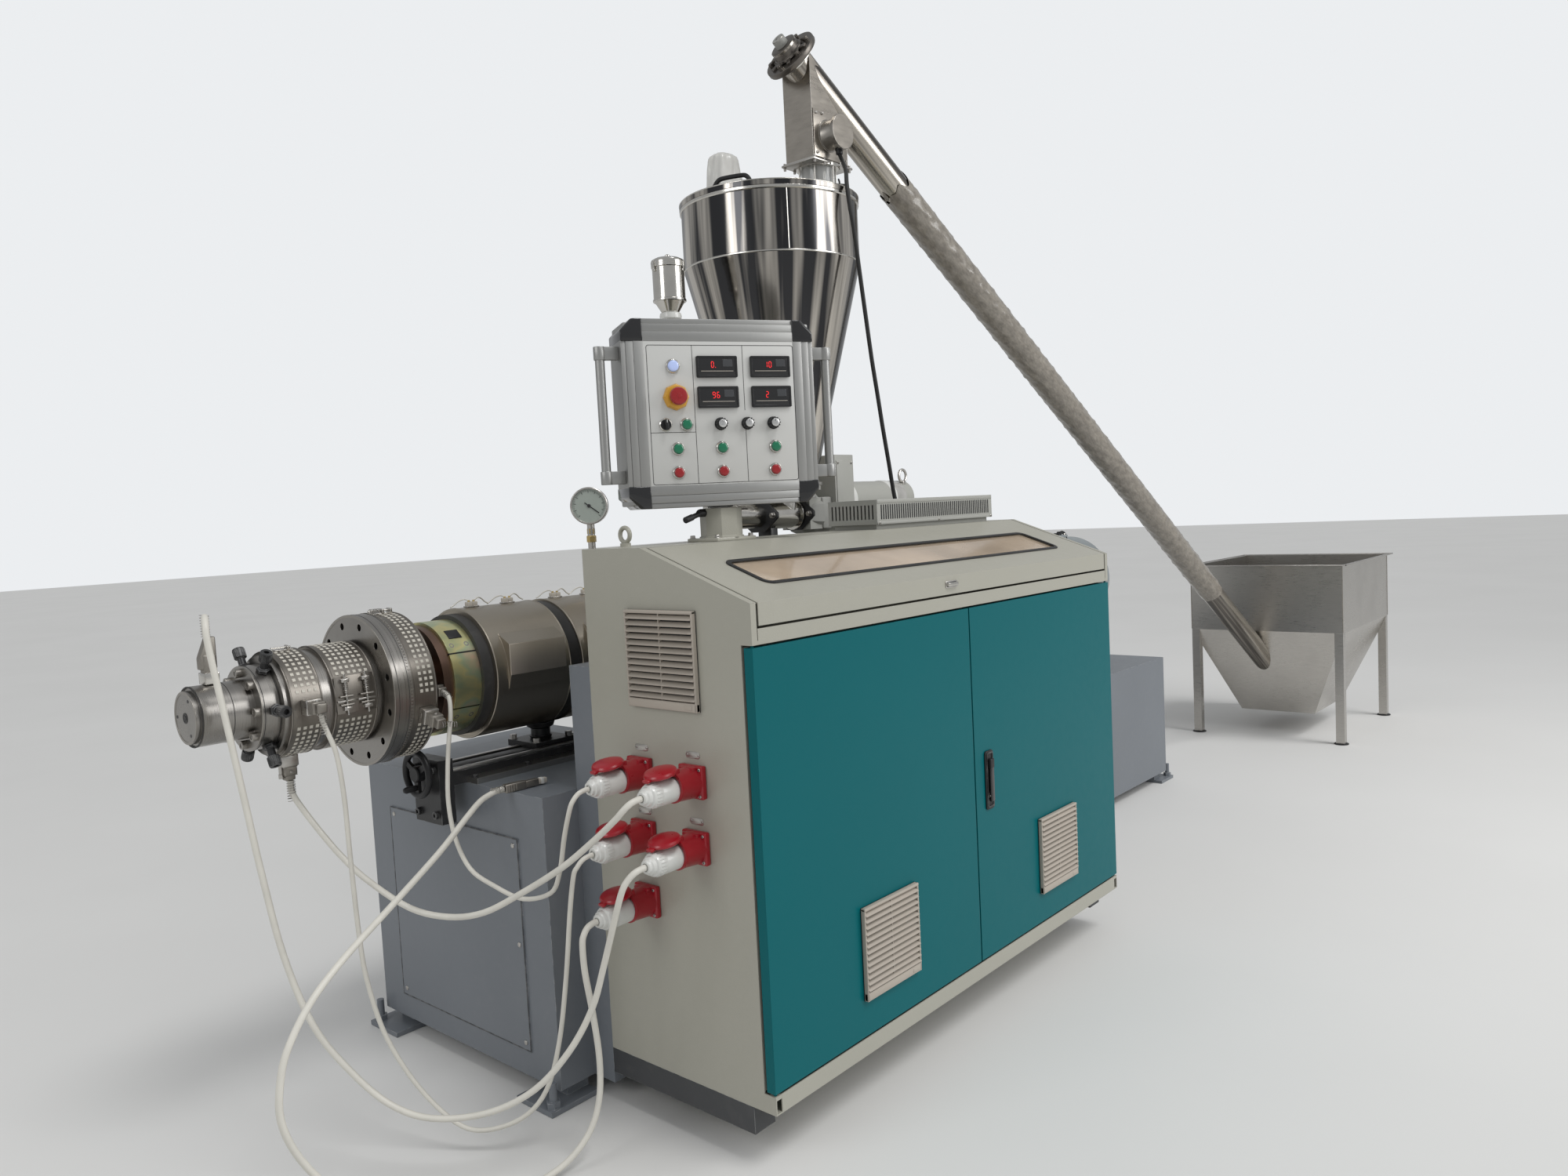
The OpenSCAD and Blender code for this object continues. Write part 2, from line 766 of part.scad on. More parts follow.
module cabinet_back() placed() color("beige") {
  block([wall, cab_d - wall, cab_z0 + wall], [cab_l - wall, cab_d, cab_top - wall]);
  block([wall, 0, cab_z0], [cab_l - wall, cab_d, cab_z0 + wall]);
  front_strip(cab_z0 + wall, door_z0 - band_gap);
}

eye_r = 20;
eyes_x = [104, cab_l - 60];
eye_y = 465;

module cabinet_top() placed() color("beige") {
  block([wall, slope_y + 10, cab_top - wall], [cab_l - wall, cab_d, cab_top]);
  front_strip(door_z1 + band_gap, strip_z1);
  for (x = eyes_x) translate([x, eye_y, cab_top]) {
    cylinder(h = 8, r = 12);
    translate([0, 0, eye_r + 6]) rotate([90, 0, 90]) rotate_extrude() translate([eye_r - 4, 0])
      circle(r = 5, $fn = 16);
  }
}

beam_h = 57;
beam_y0 = 60;
beam_w = 60;

module base_beams() placed() color("dimgray") {
  for (x = [0, cab_l - beam_w])
    difference() {
      block([x, beam_y0, cab_z0 - beam_h], [x + beam_w, cab_d, cab_z0]);
      translate([x - 1, beam_y0, cab_z0 - beam_h]) rotate([45, 0, 0]) translate([0, -60, -60])
        cube([beam_w + 2, 60, 200]);
    }
}

vent_z = 245;
vent_y0 = 148;
vent_z0 = 911;

// A filter vent that lies in the XZ plane and faces -Y
module vent(x, z, t) {
  translate([x, -t, z]) cube([vent_s, t, vent_s]);
  for (i = [0 : 12])
    translate([x + 12, -t - 4, z + 12 + i * (vent_s - 24) / 13]) cube([vent_s - 24, 5, 9]);
}

module side_vent() placed() color("beige") {
  translate([0, vent_y0 + vent_s, vent_z0]) rotate([0, 0, -90]) vent(0, 0, vent_t);
}

vent_left_x = 295;
vent_right_x = cab_l - 474;

module vent_left_door() placed() color("beige") {
  vent(vent_left_x, vent_z, vent_t);
}

module vent_right_door() placed() color("beige") {
  vent(vent_right_x, vent_z, vent_t);
}

module door(x0, x1, pin_x) {
  difference() {
    block([x0, 0, door_z0], [x1, door_t, door_z1]);
    block([x0 + wall, wall, door_z0 + wall], [x1 - wall, door_t + 1, door_z1 - wall]);
  }
  for (z = [door_z0 - band_gap - lug_t, door_z1 - wall])
    translate([pin_x, pivot_in, z]) cylinder(h = wall + band_gap + lug_t, r = pivot_r);
}

module door_left() placed() color("teal") {
  door(0, door_w, pivot_in);
}

module door_right() placed() color("teal") {
  door(door_w + door_gap, cab_l, cab_l - pivot_in);
}

handle_x = door_w + 66;
handle_z = 610;
handle_w = 38;
handle_h = 148;
handle_t = 14;

module door_handle() placed() color("black") {
  translate([handle_x - handle_w / 2, -handle_t, handle_z - handle_h / 2])
    cube([handle_w, handle_t, handle_h]);
}

win_x0 = 136;
win_x1 = cab_l - 160;
win_s0 = 77;
win_s1 = 208;
win_corner = 30;

module window_outline(grow) {
  offset(r = win_corner + grow) translate([win_x0 + win_corner, win_s0 + win_corner])
    square([win_x1 - win_x0 - 2 * win_corner, win_s1 - win_s0 - 2 * win_corner]);
}

// Side outline of the lid: the slope and the flange folded down at its front
module lid_outline() {
  along = [cos(slope_a), sin(slope_a)];
  out = [-sin(slope_a), cos(slope_a)];
  fold = [0, slope_z];
  rear = fold + along * (slope_len - lid_back);
  polygon([
    [0, slope_z - lid_flange], fold, rear, rear - out * wall,
    fold - out * wall + along * (wall * (1 - sin(slope_a)) / cos(slope_a)),
    [wall, slope_z - lid_flange]]);
}

lid_back = 2;
barrel_out = 6;

module lid_frame() placed() color("beige") {
  difference() {
    translate([lid_rim, 0, 0]) rotate([90, 0, 90]) linear_extrude(cab_l - 2 * lid_rim) lid_outline();
    on_slope() translate([0, 0, -wall - 1]) linear_extrude(wall + 2) window_outline(0);
  }
  for (x = [lid_rim - door_gap - 10, cab_l - lid_rim - 20])
    translate([x, slope_y - hinge_back, cab_top - hinge_down]) rotate([0, 90, 0])
      cylinder(h = door_gap + 30, r = hinge_r);
  for (x = [lid_rim, cab_l - lid_rim - 20])
    translate([x, slope_y - hinge_back, cab_top - hinge_down]) rotate([0, 90, 0])
      cylinder(h = 20, r = barrel_out);
}

module window_pane() placed() color("gray", 0.5) {
  on_slope() translate([0, 0, -wall - 4]) linear_extrude(4) window_outline(12);
}

// SOCKETS ON THE CABINET'S END
socket_s = 68;
socket_base = 14;
socket_r = 29;
socket_l = 52;
plug_r = 25;
plug_l = 146;
plug_nose_r = 13;
sockets_yz = [[334, 769], [334, 634], [334, 495], [176, 770], [176, 635]];

// A wall socket: square flange, round collar, raised flip lid above it
module sockets() placed() color("red") {
  for (p = sockets_yz)
    translate([0, p[0], p[1]]) {
      translate([-socket_base, -socket_s / 2, -socket_s / 2]) cube([socket_base, socket_s, socket_s]);
      translate([-socket_l - socket_base, 0, 0]) rotate([0, 90, 0]) cylinder(h = socket_l, r = socket_r);
      translate([-socket_l - socket_base - 22, 0, socket_r + 5]) rotate([0, -8, 0])
        cylinder(h = 6, r = socket_r + 1);
      translate([-socket_l - socket_base, -8, socket_r - 4]) cube([20, 16, 16]);
    }
}

plug_z = -4;

module plugs() placed() color("white") {
  for (p = sockets_yz)
    translate([0, p[0], p[1] + plug_z]) rotate([0, -90, 0]) {
      translate([0, 0, socket_l + socket_base])
        cylinder(h = plug_l - 18 - socket_l - socket_base, r = plug_r);
      translate([0, 0, plug_l - 18]) cylinder(h = 18, r1 = plug_r - 2, r2 = plug_nose_r);
    }
}

// SLOTTED GUARD ON THE CABINET
guard_x1 = cab_l - 102;
guard_x0 = guard_x1 - 594;
guard_y0 = 322;
guard_z0 = 1255;
guard_z1 = 1321;
guard_w = 165;

slots = 12;
slot_w = 5;

module slotted_guard() placed() color("darkgray") {
  block([guard_x0 + 12, guard_y0 + 12, cab_top], [guard_x1 - 12, guard_y0 + guard_w - 12, guard_z0]);
  difference() {
    block([guard_x0, guard_y0, guard_z0], [guard_x1, guard_y0 + guard_w, guard_z1]);
    block([guard_x0 + wall, guard_y0 + wall, guard_z0 + wall],
          [guard_x1 - wall, guard_y0 + guard_w - wall, guard_z1 - wall]);
    for (i = [0 : slots - 1])
      translate([guard_x0 - 1, guard_y0 + 12 + i * (guard_w - 28) / (slots - 1), guard_z0 + 14])
        cube([wall + 2, slot_w, guard_z1 - guard_z0 - 28]);
  }
}

// CONTROL PANEL
post_y = 386;
panel_z0_abs = 1323;
panel_lift = 5;

module on_post() {
  translate([post_x, post_y, 0]) rotate([0, 0, -panel_turn]) children();
}

post_s = 98;
post_foot = 130;
pin_r = 24;
pin_h = 20;

module panel_post() placed() color("beige") {
  translate([post_x - post_foot / 2, post_y - post_s / 2, cab_top]) cube([post_foot, post_s, 8]);
  translate([post_x, post_y, cab_top + 8])
    cylinder(h = panel_z0_abs - cab_top - 8 - panel_lift, r = post_s / 2, $fn = 8);
  translate([post_x, post_y, panel_z0_abs - panel_lift]) cylinder(h = panel_lift + pin_h, r = pin_r);
  translate([post_x - post_s / 2 + 6, post_y, panel_z0_abs - 24]) rotate([0, -80, 20])
    cylinder(h = 64, r = 5);
}

corner_cut = 26;

module panel_box() placed() color("silver") {
  difference() {
    on_post() translate([0, panel_d / 2, panel_z0_abs]) rotate([90, 0, 0]) linear_extrude(panel_d) polygon([
      [-panel_w / 2, corner_cut], [-panel_w / 2, panel_h - corner_cut],
      [-panel_w / 2 + corner_cut, panel_h], [panel_w / 2 - corner_cut, panel_h],
      [panel_w / 2, panel_h - corner_cut], [panel_w / 2, corner_cut],
      [panel_w / 2 - corner_cut, 0], [-panel_w / 2 + corner_cut, 0]]);
    translate([post_x, post_y, panel_z0_abs - 1]) cylinder(h = pin_h + 2, r = pin_r + pivot_fit);
  }
  panel_bars();
}

handle_gap = 42;
bar_in = 30;
bar_z0 = 60;
bar_l = 300;
bar_r = 11;
bracket_h = 26;

module panel_bars() {
  on_post() for (s = [-1, 1]) {
    translate([s * (panel_w / 2 + handle_gap), -panel_d / 2 + bar_in, panel_z0_abs + bar_z0])
      cylinder(h = bar_l, r = bar_r);
    for (z = [bar_z0, bar_z0 + bar_l - bracket_h])
      translate([s > 0 ? panel_w / 2 : -panel_w / 2 - handle_gap, -panel_d / 2 + bar_in - 8, panel_z0_abs + z])
        cube([handle_gap, 16, bracket_h]);
  }
}

meter_w = 96;
meter_h = 48;
button_r = 13;
stop_r = 20;
stop_ring_r = 30;
buttons = [
  [115, 315], [91, 185], [140, 185], [117, 131], [221, 131], [350, 131], [116, 78], [221, 78], [347, 78]];

// Meters and buttons on the panel's front, with places measured from its lower left corner
module panel_controls() placed() color("dimgray") {
  on_post() translate([-panel_w / 2, -panel_d / 2, panel_z0_abs]) {
    for (p = [[169, 289], [297, 289], [169, 221], [297, 221]])
      translate([p[0], -5, p[1]]) cube([meter_w, 5, meter_h]);
    for (p = buttons) translate([p[0], 0, p[1]]) rotate([90, 0, 0]) cylinder(h = 12, r = button_r);
    for (x = [220, 284, 347]) translate([x, 0, 185]) rotate([90, 0, 0]) cylinder(h = 18, r = button_r);
    translate([118, 0, 246]) rotate([90, 0, 0]) {
      cylinder(h = 14, r = stop_ring_r);
      cylinder(h = 32, r = stop_r);
    }
  }
}

// CABLES
cable_r = 6.5;
lead_r = 5;
sides = 8;
flange_route = [
  [-146.3, 334, 765], [-156, 334, 765], [-171, 335, 761], [-182, 338, 750], [-187, 345, 732], [-184, 372, 672],
  [-178, 404, 590], [-173, 446, 537], [-184, 529, 512], [-200, 609, 530], [-214, 674, 560], [-222, 712, 625],
  [-220, 732, 700], [-210, 742, 770], [-200, 746, 830], [-190, 748, 884], [-184, 756, 918], [-182, 768, 932],
  [-182, 784, 937]];
under_route = [
  [-146.3, 176, 766], [-156, 176, 766], [-172, 178, 762], [-184, 185, 751], [-193, 202, 731], [-208, 250, 688],
  [-230, 326, 628], [-258, 426, 566], [-293, 510, 520], [-326, 590, 505], [-362, 675, 518], [-400, 770, 570],
  [-425, 828, 620], [-448, 880, 680], [-466, 922, 735], [-471, 934, 760], [-471, 934, 780]];
band_route = [
  [-146.3, 334, 630], [-156, 334, 630], [-171, 335, 626], [-182, 339, 614], [-188, 346, 595], [-190, 362, 520],
  [-192, 386, 380], [-202, 410, 240], [-220, 440, 136], [-251, 485, 76], [-298, 553, 48], [-334, 604, 64],
  [-377, 667, 140], [-412, 718, 246], [-430, 744, 360], [-437, 752, 460], [-441, 756, 629], [-443, 758, 760],
  [-450, 762, 850], [-462, 770, 900], [-468, 775, 925], [-468, 775, 938]];
mandrel_route = [
  [-146.3, 176, 631], [-156, 176, 631], [-172, 178, 627], [-185, 184, 615], [-194, 191, 596], [-200, 206, 550],
  [-208, 243, 441], [-222, 270, 354], [-252, 312, 268], [-296, 371, 192], [-354, 448, 146], [-423, 539, 136],
  [-474, 608, 166], [-520, 668, 236], [-561, 722, 330], [-590, 762, 472], [-608, 786, 632], [-620, 804, 770],
  [-630, 820, 888], [-636, 834, 970], [-642, 848, 1050], [-646, 857, 1110], [-642, 868, 1139],
  [-632, 895, 1151],
  [-622, 923, 1139], [-618, 934, 1121], [-618, 934, 1109]];
spare_route = [
  [-146.3, 334, 491], [-156, 334, 491], [-171, 333, 487], [-182, 332, 476], [-188, 331, 458], [-187, 330, 400],
  [-174, 330, 310], [-163, 332, 210], [-170, 332, 130], [-196, 334, 74], [-240, 346, 32], [-300, 364, 10],
  [-400, 384, 8], [-500, 410, 12], [-590, 440, 50], [-660, 458, 130], [-716, 470, 220], [-742, 474, 300],
  [-735, 478, 370], [-712, 486, 420], [-660, 502, 475], [-582, 526, 522], [-461, 565, 575], [-326, 608, 636],
  [-240, 640, 680], [-185, 664, 703], [-150, 673, 711], [-130, 675.4, 714], [-115.2, 674.1, 714.4]];
loader_route = [
  [1340, 756, 2439.2], [1340, 755, 2422], [1328, 735, 2391], [1269, 680, 2340], [1220, 642, 2281],
  [1208, 626, 2212], [1214, 620, 2150], [1234, 620, 2026], [1256, 620, 1890], [1278, 620, 1758],
  [1300, 620, 1650], [1320, 620, 1549], [1344, 620, 1440], [1364, 618, 1335], [1370, 600, 1250],
  [1370, 565, 1150], [1366, 530, 1060], [1364, 525, 1010], [1364, 525, 985]];
steps = 3;

// A point of a smooth curve through four neighbours, at a share t between the middle two
function curve(a, b, c, d, t) =
  0.5 * (2 * b + (c - a) * t + (2 * a - 5 * b + 4 * c - d) * t * t + (3 * b - a - 3 * c + d) * t * t * t);

function smooth(p) = [
  for (i = [0 : len(p) - 2], k = [0 : steps - 1])
    curve(p[max(i - 1, 0)], p[i], p[i + 1], p[min(i + 2, len(p) - 1)], k / steps),
  p[len(p) - 1]];

function unit(v) = v / norm(v);

// Rings of points about a path
function rings(p, r) = [
  for (i = [0 : len(p) - 1])
    let (d = unit(p[min(i + 1, len(p) - 1)] - p[max(i - 1, 0)]),
         a = unit(cross(d, abs(d[2]) > 0.9 ? [0, 1, 0] : [0, 0, 1])), b = cross(d, a))
    for (k = [0 : sides - 1]) p[i] + r * (a * cos(360 * k / sides) + b * sin(360 * k / sides))];

module tube(route, r) {
  p = smooth(route);
  n = len(p);
  polyhedron(points = rings(p, r), faces = concat(
    [[for (k = [0 : sides - 1]) k]],
    [for (i = [0 : n - 2], k = [0 : sides - 1])
      [i * sides + k, (i + 1) * sides + k, (i + 1) * sides + (k + 1) % sides, i * sides + (k + 1) % sides]],
    [[for (k = [sides - 1 : -1 : 0]) (n - 1) * sides + k]]));
}

module cable_flange() placed() color("white") tube(flange_route, lead_r);
module cable_under() placed() color("white") tube(under_route, cable_r);
module cable_band() placed() color("white") tube(band_route, lead_r);
module cable_mandrel() placed() color("white") tube(mandrel_route, cable_r);
module cable_spare() placed() color("white") tube(spare_route, cable_r);
module cable_loader() placed() color("black") tube(loader_route, cable_r);

spare_l = 80;

// The loose heater plug that lies on the bench
module spare_connector() placed() color("darkgray") {
  translate([-114, 674, bench_top + 0.3]) rotate([0, 0, -5]) {
    translate([0, -9, 0]) cube([spare_l, 18, 20]);
    translate([spare_l, -7, 3]) cube([30, 14, 14]);
  }
}

main_frame();
bench();
feet();
slide_bed();
slide_ledges();
handwheel();
support_post();
barrel();
barrel_covers();
clamp_ring();
clamp_flange();
die_flange();
flange_heater();
die_body();
heater_bands();
centring_bolts();
mandrel();
heater_connectors();
gearbox();
main_motor();
motor_feet();
vacuum_gauge();
vent_cup();
hopper_shell();
hopper_lid();
vent_sock();
feeder_body();
feeder_drive();
loader_spool();
loader_head();
loader_tube();
loader_wrap();
loader_bin();
bin_legs();
cabinet_left();
cabinet_right();
cabinet_back();
cabinet_top();
base_beams();
door_left();
door_right();
door_handle();
lid_frame();
window_pane();
side_vent();
vent_left_door();
vent_right_door();
sockets();
plugs();
slotted_guard();
panel_post();
panel_box();
panel_controls();
spare_connector();
cable_flange();
cable_under();
cable_band();
cable_mandrel();
cable_spare();
cable_loader();
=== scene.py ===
import math
import bpy
from mathutils import Matrix, Vector


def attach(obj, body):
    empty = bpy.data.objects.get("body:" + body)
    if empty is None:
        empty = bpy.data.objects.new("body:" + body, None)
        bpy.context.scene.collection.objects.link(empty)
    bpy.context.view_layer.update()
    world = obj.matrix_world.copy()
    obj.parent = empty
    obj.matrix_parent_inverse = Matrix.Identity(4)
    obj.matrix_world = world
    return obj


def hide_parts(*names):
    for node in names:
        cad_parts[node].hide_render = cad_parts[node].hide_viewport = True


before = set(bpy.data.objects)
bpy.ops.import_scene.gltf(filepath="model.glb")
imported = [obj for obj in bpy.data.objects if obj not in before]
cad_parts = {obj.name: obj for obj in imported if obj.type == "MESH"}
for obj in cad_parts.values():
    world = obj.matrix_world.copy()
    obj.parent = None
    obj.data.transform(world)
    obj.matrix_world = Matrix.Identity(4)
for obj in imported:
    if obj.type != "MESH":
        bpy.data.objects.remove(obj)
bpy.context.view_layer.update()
mm = 0.001
scene = bpy.context.scene
scene.view_settings.view_transform = "Standard"
print("stage: frame loaded")


# Places: everything is measured from the cabinet's front edge at its die end, in millimetres
machine = Matrix.Translation((0.071, -0.6095, 0))


def clearSelection():
    bpy.ops.object.select_all(action="DESELECT")


def only(part):     # the one selected and active object
    clearSelection()
    part.select_set(True)
    bpy.context.view_layer.objects.active = part
    return part


def applied():     # the active object's place and size, put into its mesh
    bpy.ops.object.transform_apply(location=True, rotation=True, scale=True)


def editing(start=True):     # into edit mode with everything selected, or out of it
    bpy.ops.object.mode_set(mode="EDIT" if start else "OBJECT")
    if start:
        bpy.ops.mesh.select_all(action="SELECT")


def drawnOut(x, y, z):     # extrudes what is selected, in metres
    bpy.ops.mesh.extrude_region_move(TRANSFORM_OT_translate={"value": (x, y, z)})


def turn(degrees, axis):
    return Matrix.Rotation(math.radians(degrees), 4, axis)


def shift(x, y, z):
    return Matrix.Translation((x * mm, y * mm, z * mm))


slopeAngle = math.degrees(math.atan2(110, 303))
axisY, axisZ, hopperX = 934, 950, 1192
screwAxis = shift(0, axisY, axisZ) @ turn(90, "Y")     # local Z runs along the barrel
lidPlane = machine @ shift(0, 0, 1132) @ turn(slopeAngle, "X")     # local Y up the slope, Z out of it
endWall = machine @ turn(-90, "Z")     # local X towards the operator, Z up, -Y out of the sheet
panelFace = machine @ shift(332, 386, 1323) @ turn(-28.6, "Z") @ shift(-227, -60, 0)
tubeTop = Vector((1242, 848, 2720))
tubeLow = Vector((4756, 460, 202))
tubeRun = tubeLow - tubeTop
tubeLine = (machine @ shift(*tubeTop)
            @ turn(math.degrees(math.atan2(tubeRun.y, tubeRun.x)), "Z")
            @ turn(math.degrees(math.acos(tubeRun.z / tubeRun.length)), "Y"))


# Camera, where the photograph was taken
camera = bpy.data.cameras.new("photoCamera")
camera.lens, camera.sensor_width = 25.387, 36
camera.clip_end = 300
cameraPost = bpy.data.objects.new("photoCamera", camera)
scene.collection.objects.link(cameraPost)
cameraPost.matrix_world = Matrix((
    (0.65383, 0.08522, -0.75183, -1.4578),
    (-0.75497, 0.00739, -0.65572, -2.0308),
    (-0.05032, 0.99633, 0.06917, 1.3030),
    (0, 0, 0, 1)))
scene.camera = cameraPost
print("stage: camera")


# Materials: one wrapper round a socket, so that sums read as plain Python
finish = {}


class Wire:
    def __init__(self, finish, socket):
        self.finish, self.socket = finish, socket

    def sum(self, operation, first, second):
        return self.finish.add("ShaderNodeMath", {"operation": operation}, {0: first, 1: second})

    def __rsub__(self, other):
        return self.sum("SUBTRACT", other, self)


operators = {"add": "ADD", "radd": "ADD", "sub": "SUBTRACT", "mul": "MULTIPLY", "rmul": "MULTIPLY",
             "truediv": "DIVIDE", "gt": "GREATER_THAN", "lt": "LESS_THAN", "mod": "FLOORED_MODULO"}
for sign, operation in operators.items():
    setattr(Wire, f"__{sign}__", lambda self, other, operation=operation: self.sum(operation, self, other))


class Finish:
    def __init__(self, name, **constants):
        self.name = name
        self.material = bpy.data.materials.new(name)
        self.material.use_nodes = True
        self.tree = self.material.node_tree
        self.shader = next(n for n in self.tree.nodes if n.type == "BSDF_PRINCIPLED")
        for socket, value in constants.items():
            self.shader.inputs[socket.replace("_", " ")].default_value = value
        self.place = self.add("ShaderNodeTexCoord", {}, {}, "Object")

    def add(self, kind, settings, sockets, out=0):
        node = self.tree.nodes.new(kind)
        for key, value in settings.items():
            if key == "stops":
                ramp = node.color_ramp
                for spot, (position, colour) in enumerate(value):
                    element = ramp.elements[spot] if spot < 2 else ramp.elements.new(position)
                    element.position = position
                    element.color = (*colour, 1)
            else:
                setattr(node, key, value)
        for key, value in sockets.items():
            if isinstance(value, Wire):
                self.tree.links.new(value.socket, node.inputs[key])
            else:
                node.inputs[key].default_value = value
        return Wire(self, node.outputs[out])

    def noise(self, scale, detail=2.0, place=None, roughness=0.5):
        return self.add("ShaderNodeTexNoise", {}, {
            "Vector": place or self.place, "Scale": scale, "Detail": detail, "Roughness": roughness})

    def stretched(self, x, y, z, place=None):
        return self.add("ShaderNodeVectorMath", {"operation": "MULTIPLY"},
                        {0: place or self.place, 1: (x, y, z)})

    def split(self, place=None):
        node = self.tree.nodes.new("ShaderNodeSeparateXYZ")
        self.tree.links.new((place or self.place).socket, node.inputs[0])
        return [Wire(self, s) for s in node.outputs]

    def joined(self, x, y, z):
        return self.add("ShaderNodeCombineXYZ", {}, {0: x, 1: y, 2: z})

    def centred(self, x, y, z):     # Object coordinates measured from a point, in millimetres of the machine
        point = machine @ Vector((x * mm, y * mm, z * mm))
        return self.add("ShaderNodeMapping", {}, {"Vector": self.place,
                                                  "Location": (-point.x, -point.y, -point.z)})

    def between(self, low, high, value):     # 0 below low, 1 above high
        return self.add("ShaderNodeMapRange", {}, {"Value": value, "From Min": low, "From Max": high})

    def blend(self, factor, first, second):
        colours = [c if isinstance(c, Wire) else (*c, 1) for c in (first, second)]
        return self.add("ShaderNodeMix", {"data_type": "RGBA"}, {0: factor, 6: colours[0], 7: colours[1]}, 2)

    def rounded(self, radius=1.5):
        return self.add("ShaderNodeBevel", {"samples": 4}, {"Radius": radius * mm})

    def edges(self, radius=3.0):     # 1 along the outer edges, where paint wears
        round_ = self.rounded(radius)
        flat = self.add("ShaderNodeNewGeometry", {}, {}, "Normal")
        dot = self.add("ShaderNodeVectorMath", {"operation": "DOT_PRODUCT"}, {0: round_, 1: flat}, "Value")
        return self.between(0.985, 0.93, dot)

    def dress(self, colour=None, roughness=None, height=None, depth=0.3, strength=0.3, edge=1.5, **others):
        normal = self.rounded(edge) if edge else None
        if height is not None:
            sockets = {"Height": height, "Strength": strength, "Distance": depth * mm}
            if normal:
                sockets["Normal"] = normal
            normal = self.add("ShaderNodeBump", {}, sockets)
        links = {"Base Color": colour, "Roughness": roughness, "Normal": normal}
        links.update({key.replace("_", " "): value for key, value in others.items()})
        for key, value in links.items():
            if isinstance(value, Wire):
                self.tree.links.new(value.socket, self.shader.inputs[key])
            elif value is not None:
                self.shader.inputs[key].default_value = value if not isinstance(value, tuple) else (*value, 1)
        finish[self.name] = self.material


def coated(part, dress):
    part.data.materials.clear()
    part.data.materials.append(finish[dress])
    return part


def shade(colour, factor):
    return tuple(min(1.0, c * factor) for c in colour)


def painted(name, colour, rough=0.42, mottle=0.05, peel=0.25, grain=420, wear=0.0, coat=0.0, depth=0.25,
            dirt=0.03,
            shine=0.45):
    f = Finish(name, Coat_Weight=coat, Coat_Roughness=0.12, Specular_IOR_Level=shine)
    broad, fine = f.noise(2.5, 4), f.noise(38, 5)
    tone = f.blend(broad, shade(colour, 1 - mottle), shade(colour, 1 + mottle))
    dust = f.between(0.52, 0.8, fine)
    tone = f.blend(dust * dirt, tone, (0.62, 0.6, 0.56))
    roughness = fine * 0.16 + (rough - 0.08)
    metallic = None
    if wear:
        worn = f.edges(2.5) * f.between(0.42, 0.62, f.noise(46, 4)) * wear
        tone = f.blend(worn, tone, (0.7, 0.7, 0.7))
        metallic = worn * 0.8
    f.dress(tone, roughness, f.noise(grain, 1), depth, peel, Metallic=metallic)


def metal(name, colour, rough=0.3, grainPlace=None, spread=0.18, bump=0.12, tint=0.16, edge=1.0, stain=0.0):
    f = Finish(name, Metallic=1.0)
    place = grainPlace(f) if grainPlace else f.stretched(60, 60, 900)
    grain, broad = f.noise(1.0, 3, place), f.noise(7, 4)
    tone = f.blend(grain, shade(colour, 1 - tint), shade(colour, 1 + tint))
    tone = f.blend(f.between(0.5, 0.75, broad) * stain, tone, shade(colour, 0.55))
    f.dress(tone, grain * spread + broad * 0.1 + (rough - spread / 2 - 0.05), grain, 0.08, bump, edge)


def turnedGrain(f):     # rings about the screw axis, as a lathe leaves them
    x, y, z = f.split(f.centred(0, axisY, axisZ))
    return f.joined(x * 700, (y * y + z * z) * 4200, 0.0)


def aroundAxis(f):     # long scratches round a cylinder on the screw axis
    x, y, z = f.split(f.centred(0, axisY, axisZ))
    return f.joined(x * 1400, y * 14, z * 14)


def reflectionStreaks(x, y, fine=9.0, rise=0.35):     # upright coordinates round a standing cylinder, for painted reflection streaks
    def made(f):
        flat = f.stretched(1, 1, 0, f.centred(x, y, 0))
        way = f.add("ShaderNodeVectorMath", {"operation": "NORMALIZE"}, {0: flat})
        a, b, _ = f.split(way)
        z = f.split()[2]
        return f.joined(a * fine, b * fine, z * rise)
    return made


def alongTube(f):     # coordinates along the loader's tube, for the painted reflection stripes and the film's creases
    back = tubeLine.inverted().to_euler()
    start = -(tubeLine.inverted().to_3x3() @ tubeLine.to_translation())
    return f.add("ShaderNodeMapping", {}, {"Vector": f.place, "Rotation": tuple(back),
                                           "Location": tuple(start)})


def gloss(name, colour, rough=0.25, tint=0.06, coat=0.4, grain=60.0, bump=0.05, **constants):
    f = Finish(name, Coat_Weight=coat, Coat_Roughness=0.08, **constants)
    soft = f.noise(grain, 3)
    f.dress(f.blend(soft, shade(colour, 1 - tint), shade(colour, 1 + tint)), soft * 0.14 + (rough - 0.07),
                   f.noise(600, 1), 0.1, bump, 0.8)


def rubber(name, colour, rough=0.6, bump=0.25, grain=700.0):
    f = Finish(name, Specular_IOR_Level=0.35)
    soft = f.noise(25, 4)
    f.dress(f.blend(soft, shade(colour, 0.8), shade(colour, 1.3)), soft * 0.2 + (rough - 0.1),
                   f.noise(grain, 2), 0.15, bump, 0.8)


def seeThrough(name, colour, alpha, rough=0.06, tint=0.1):
    f = Finish(name, Alpha=alpha, Coat_Weight=0.6, Coat_Roughness=0.05)
    haze = f.noise(5, 4)
    f.dress(f.blend(haze, shade(colour, 1 - tint), shade(colour, 1 + tint)), haze * 0.08 + rough, None, edge=0,
                   Alpha=haze * 0.12 + (alpha - 0.06))


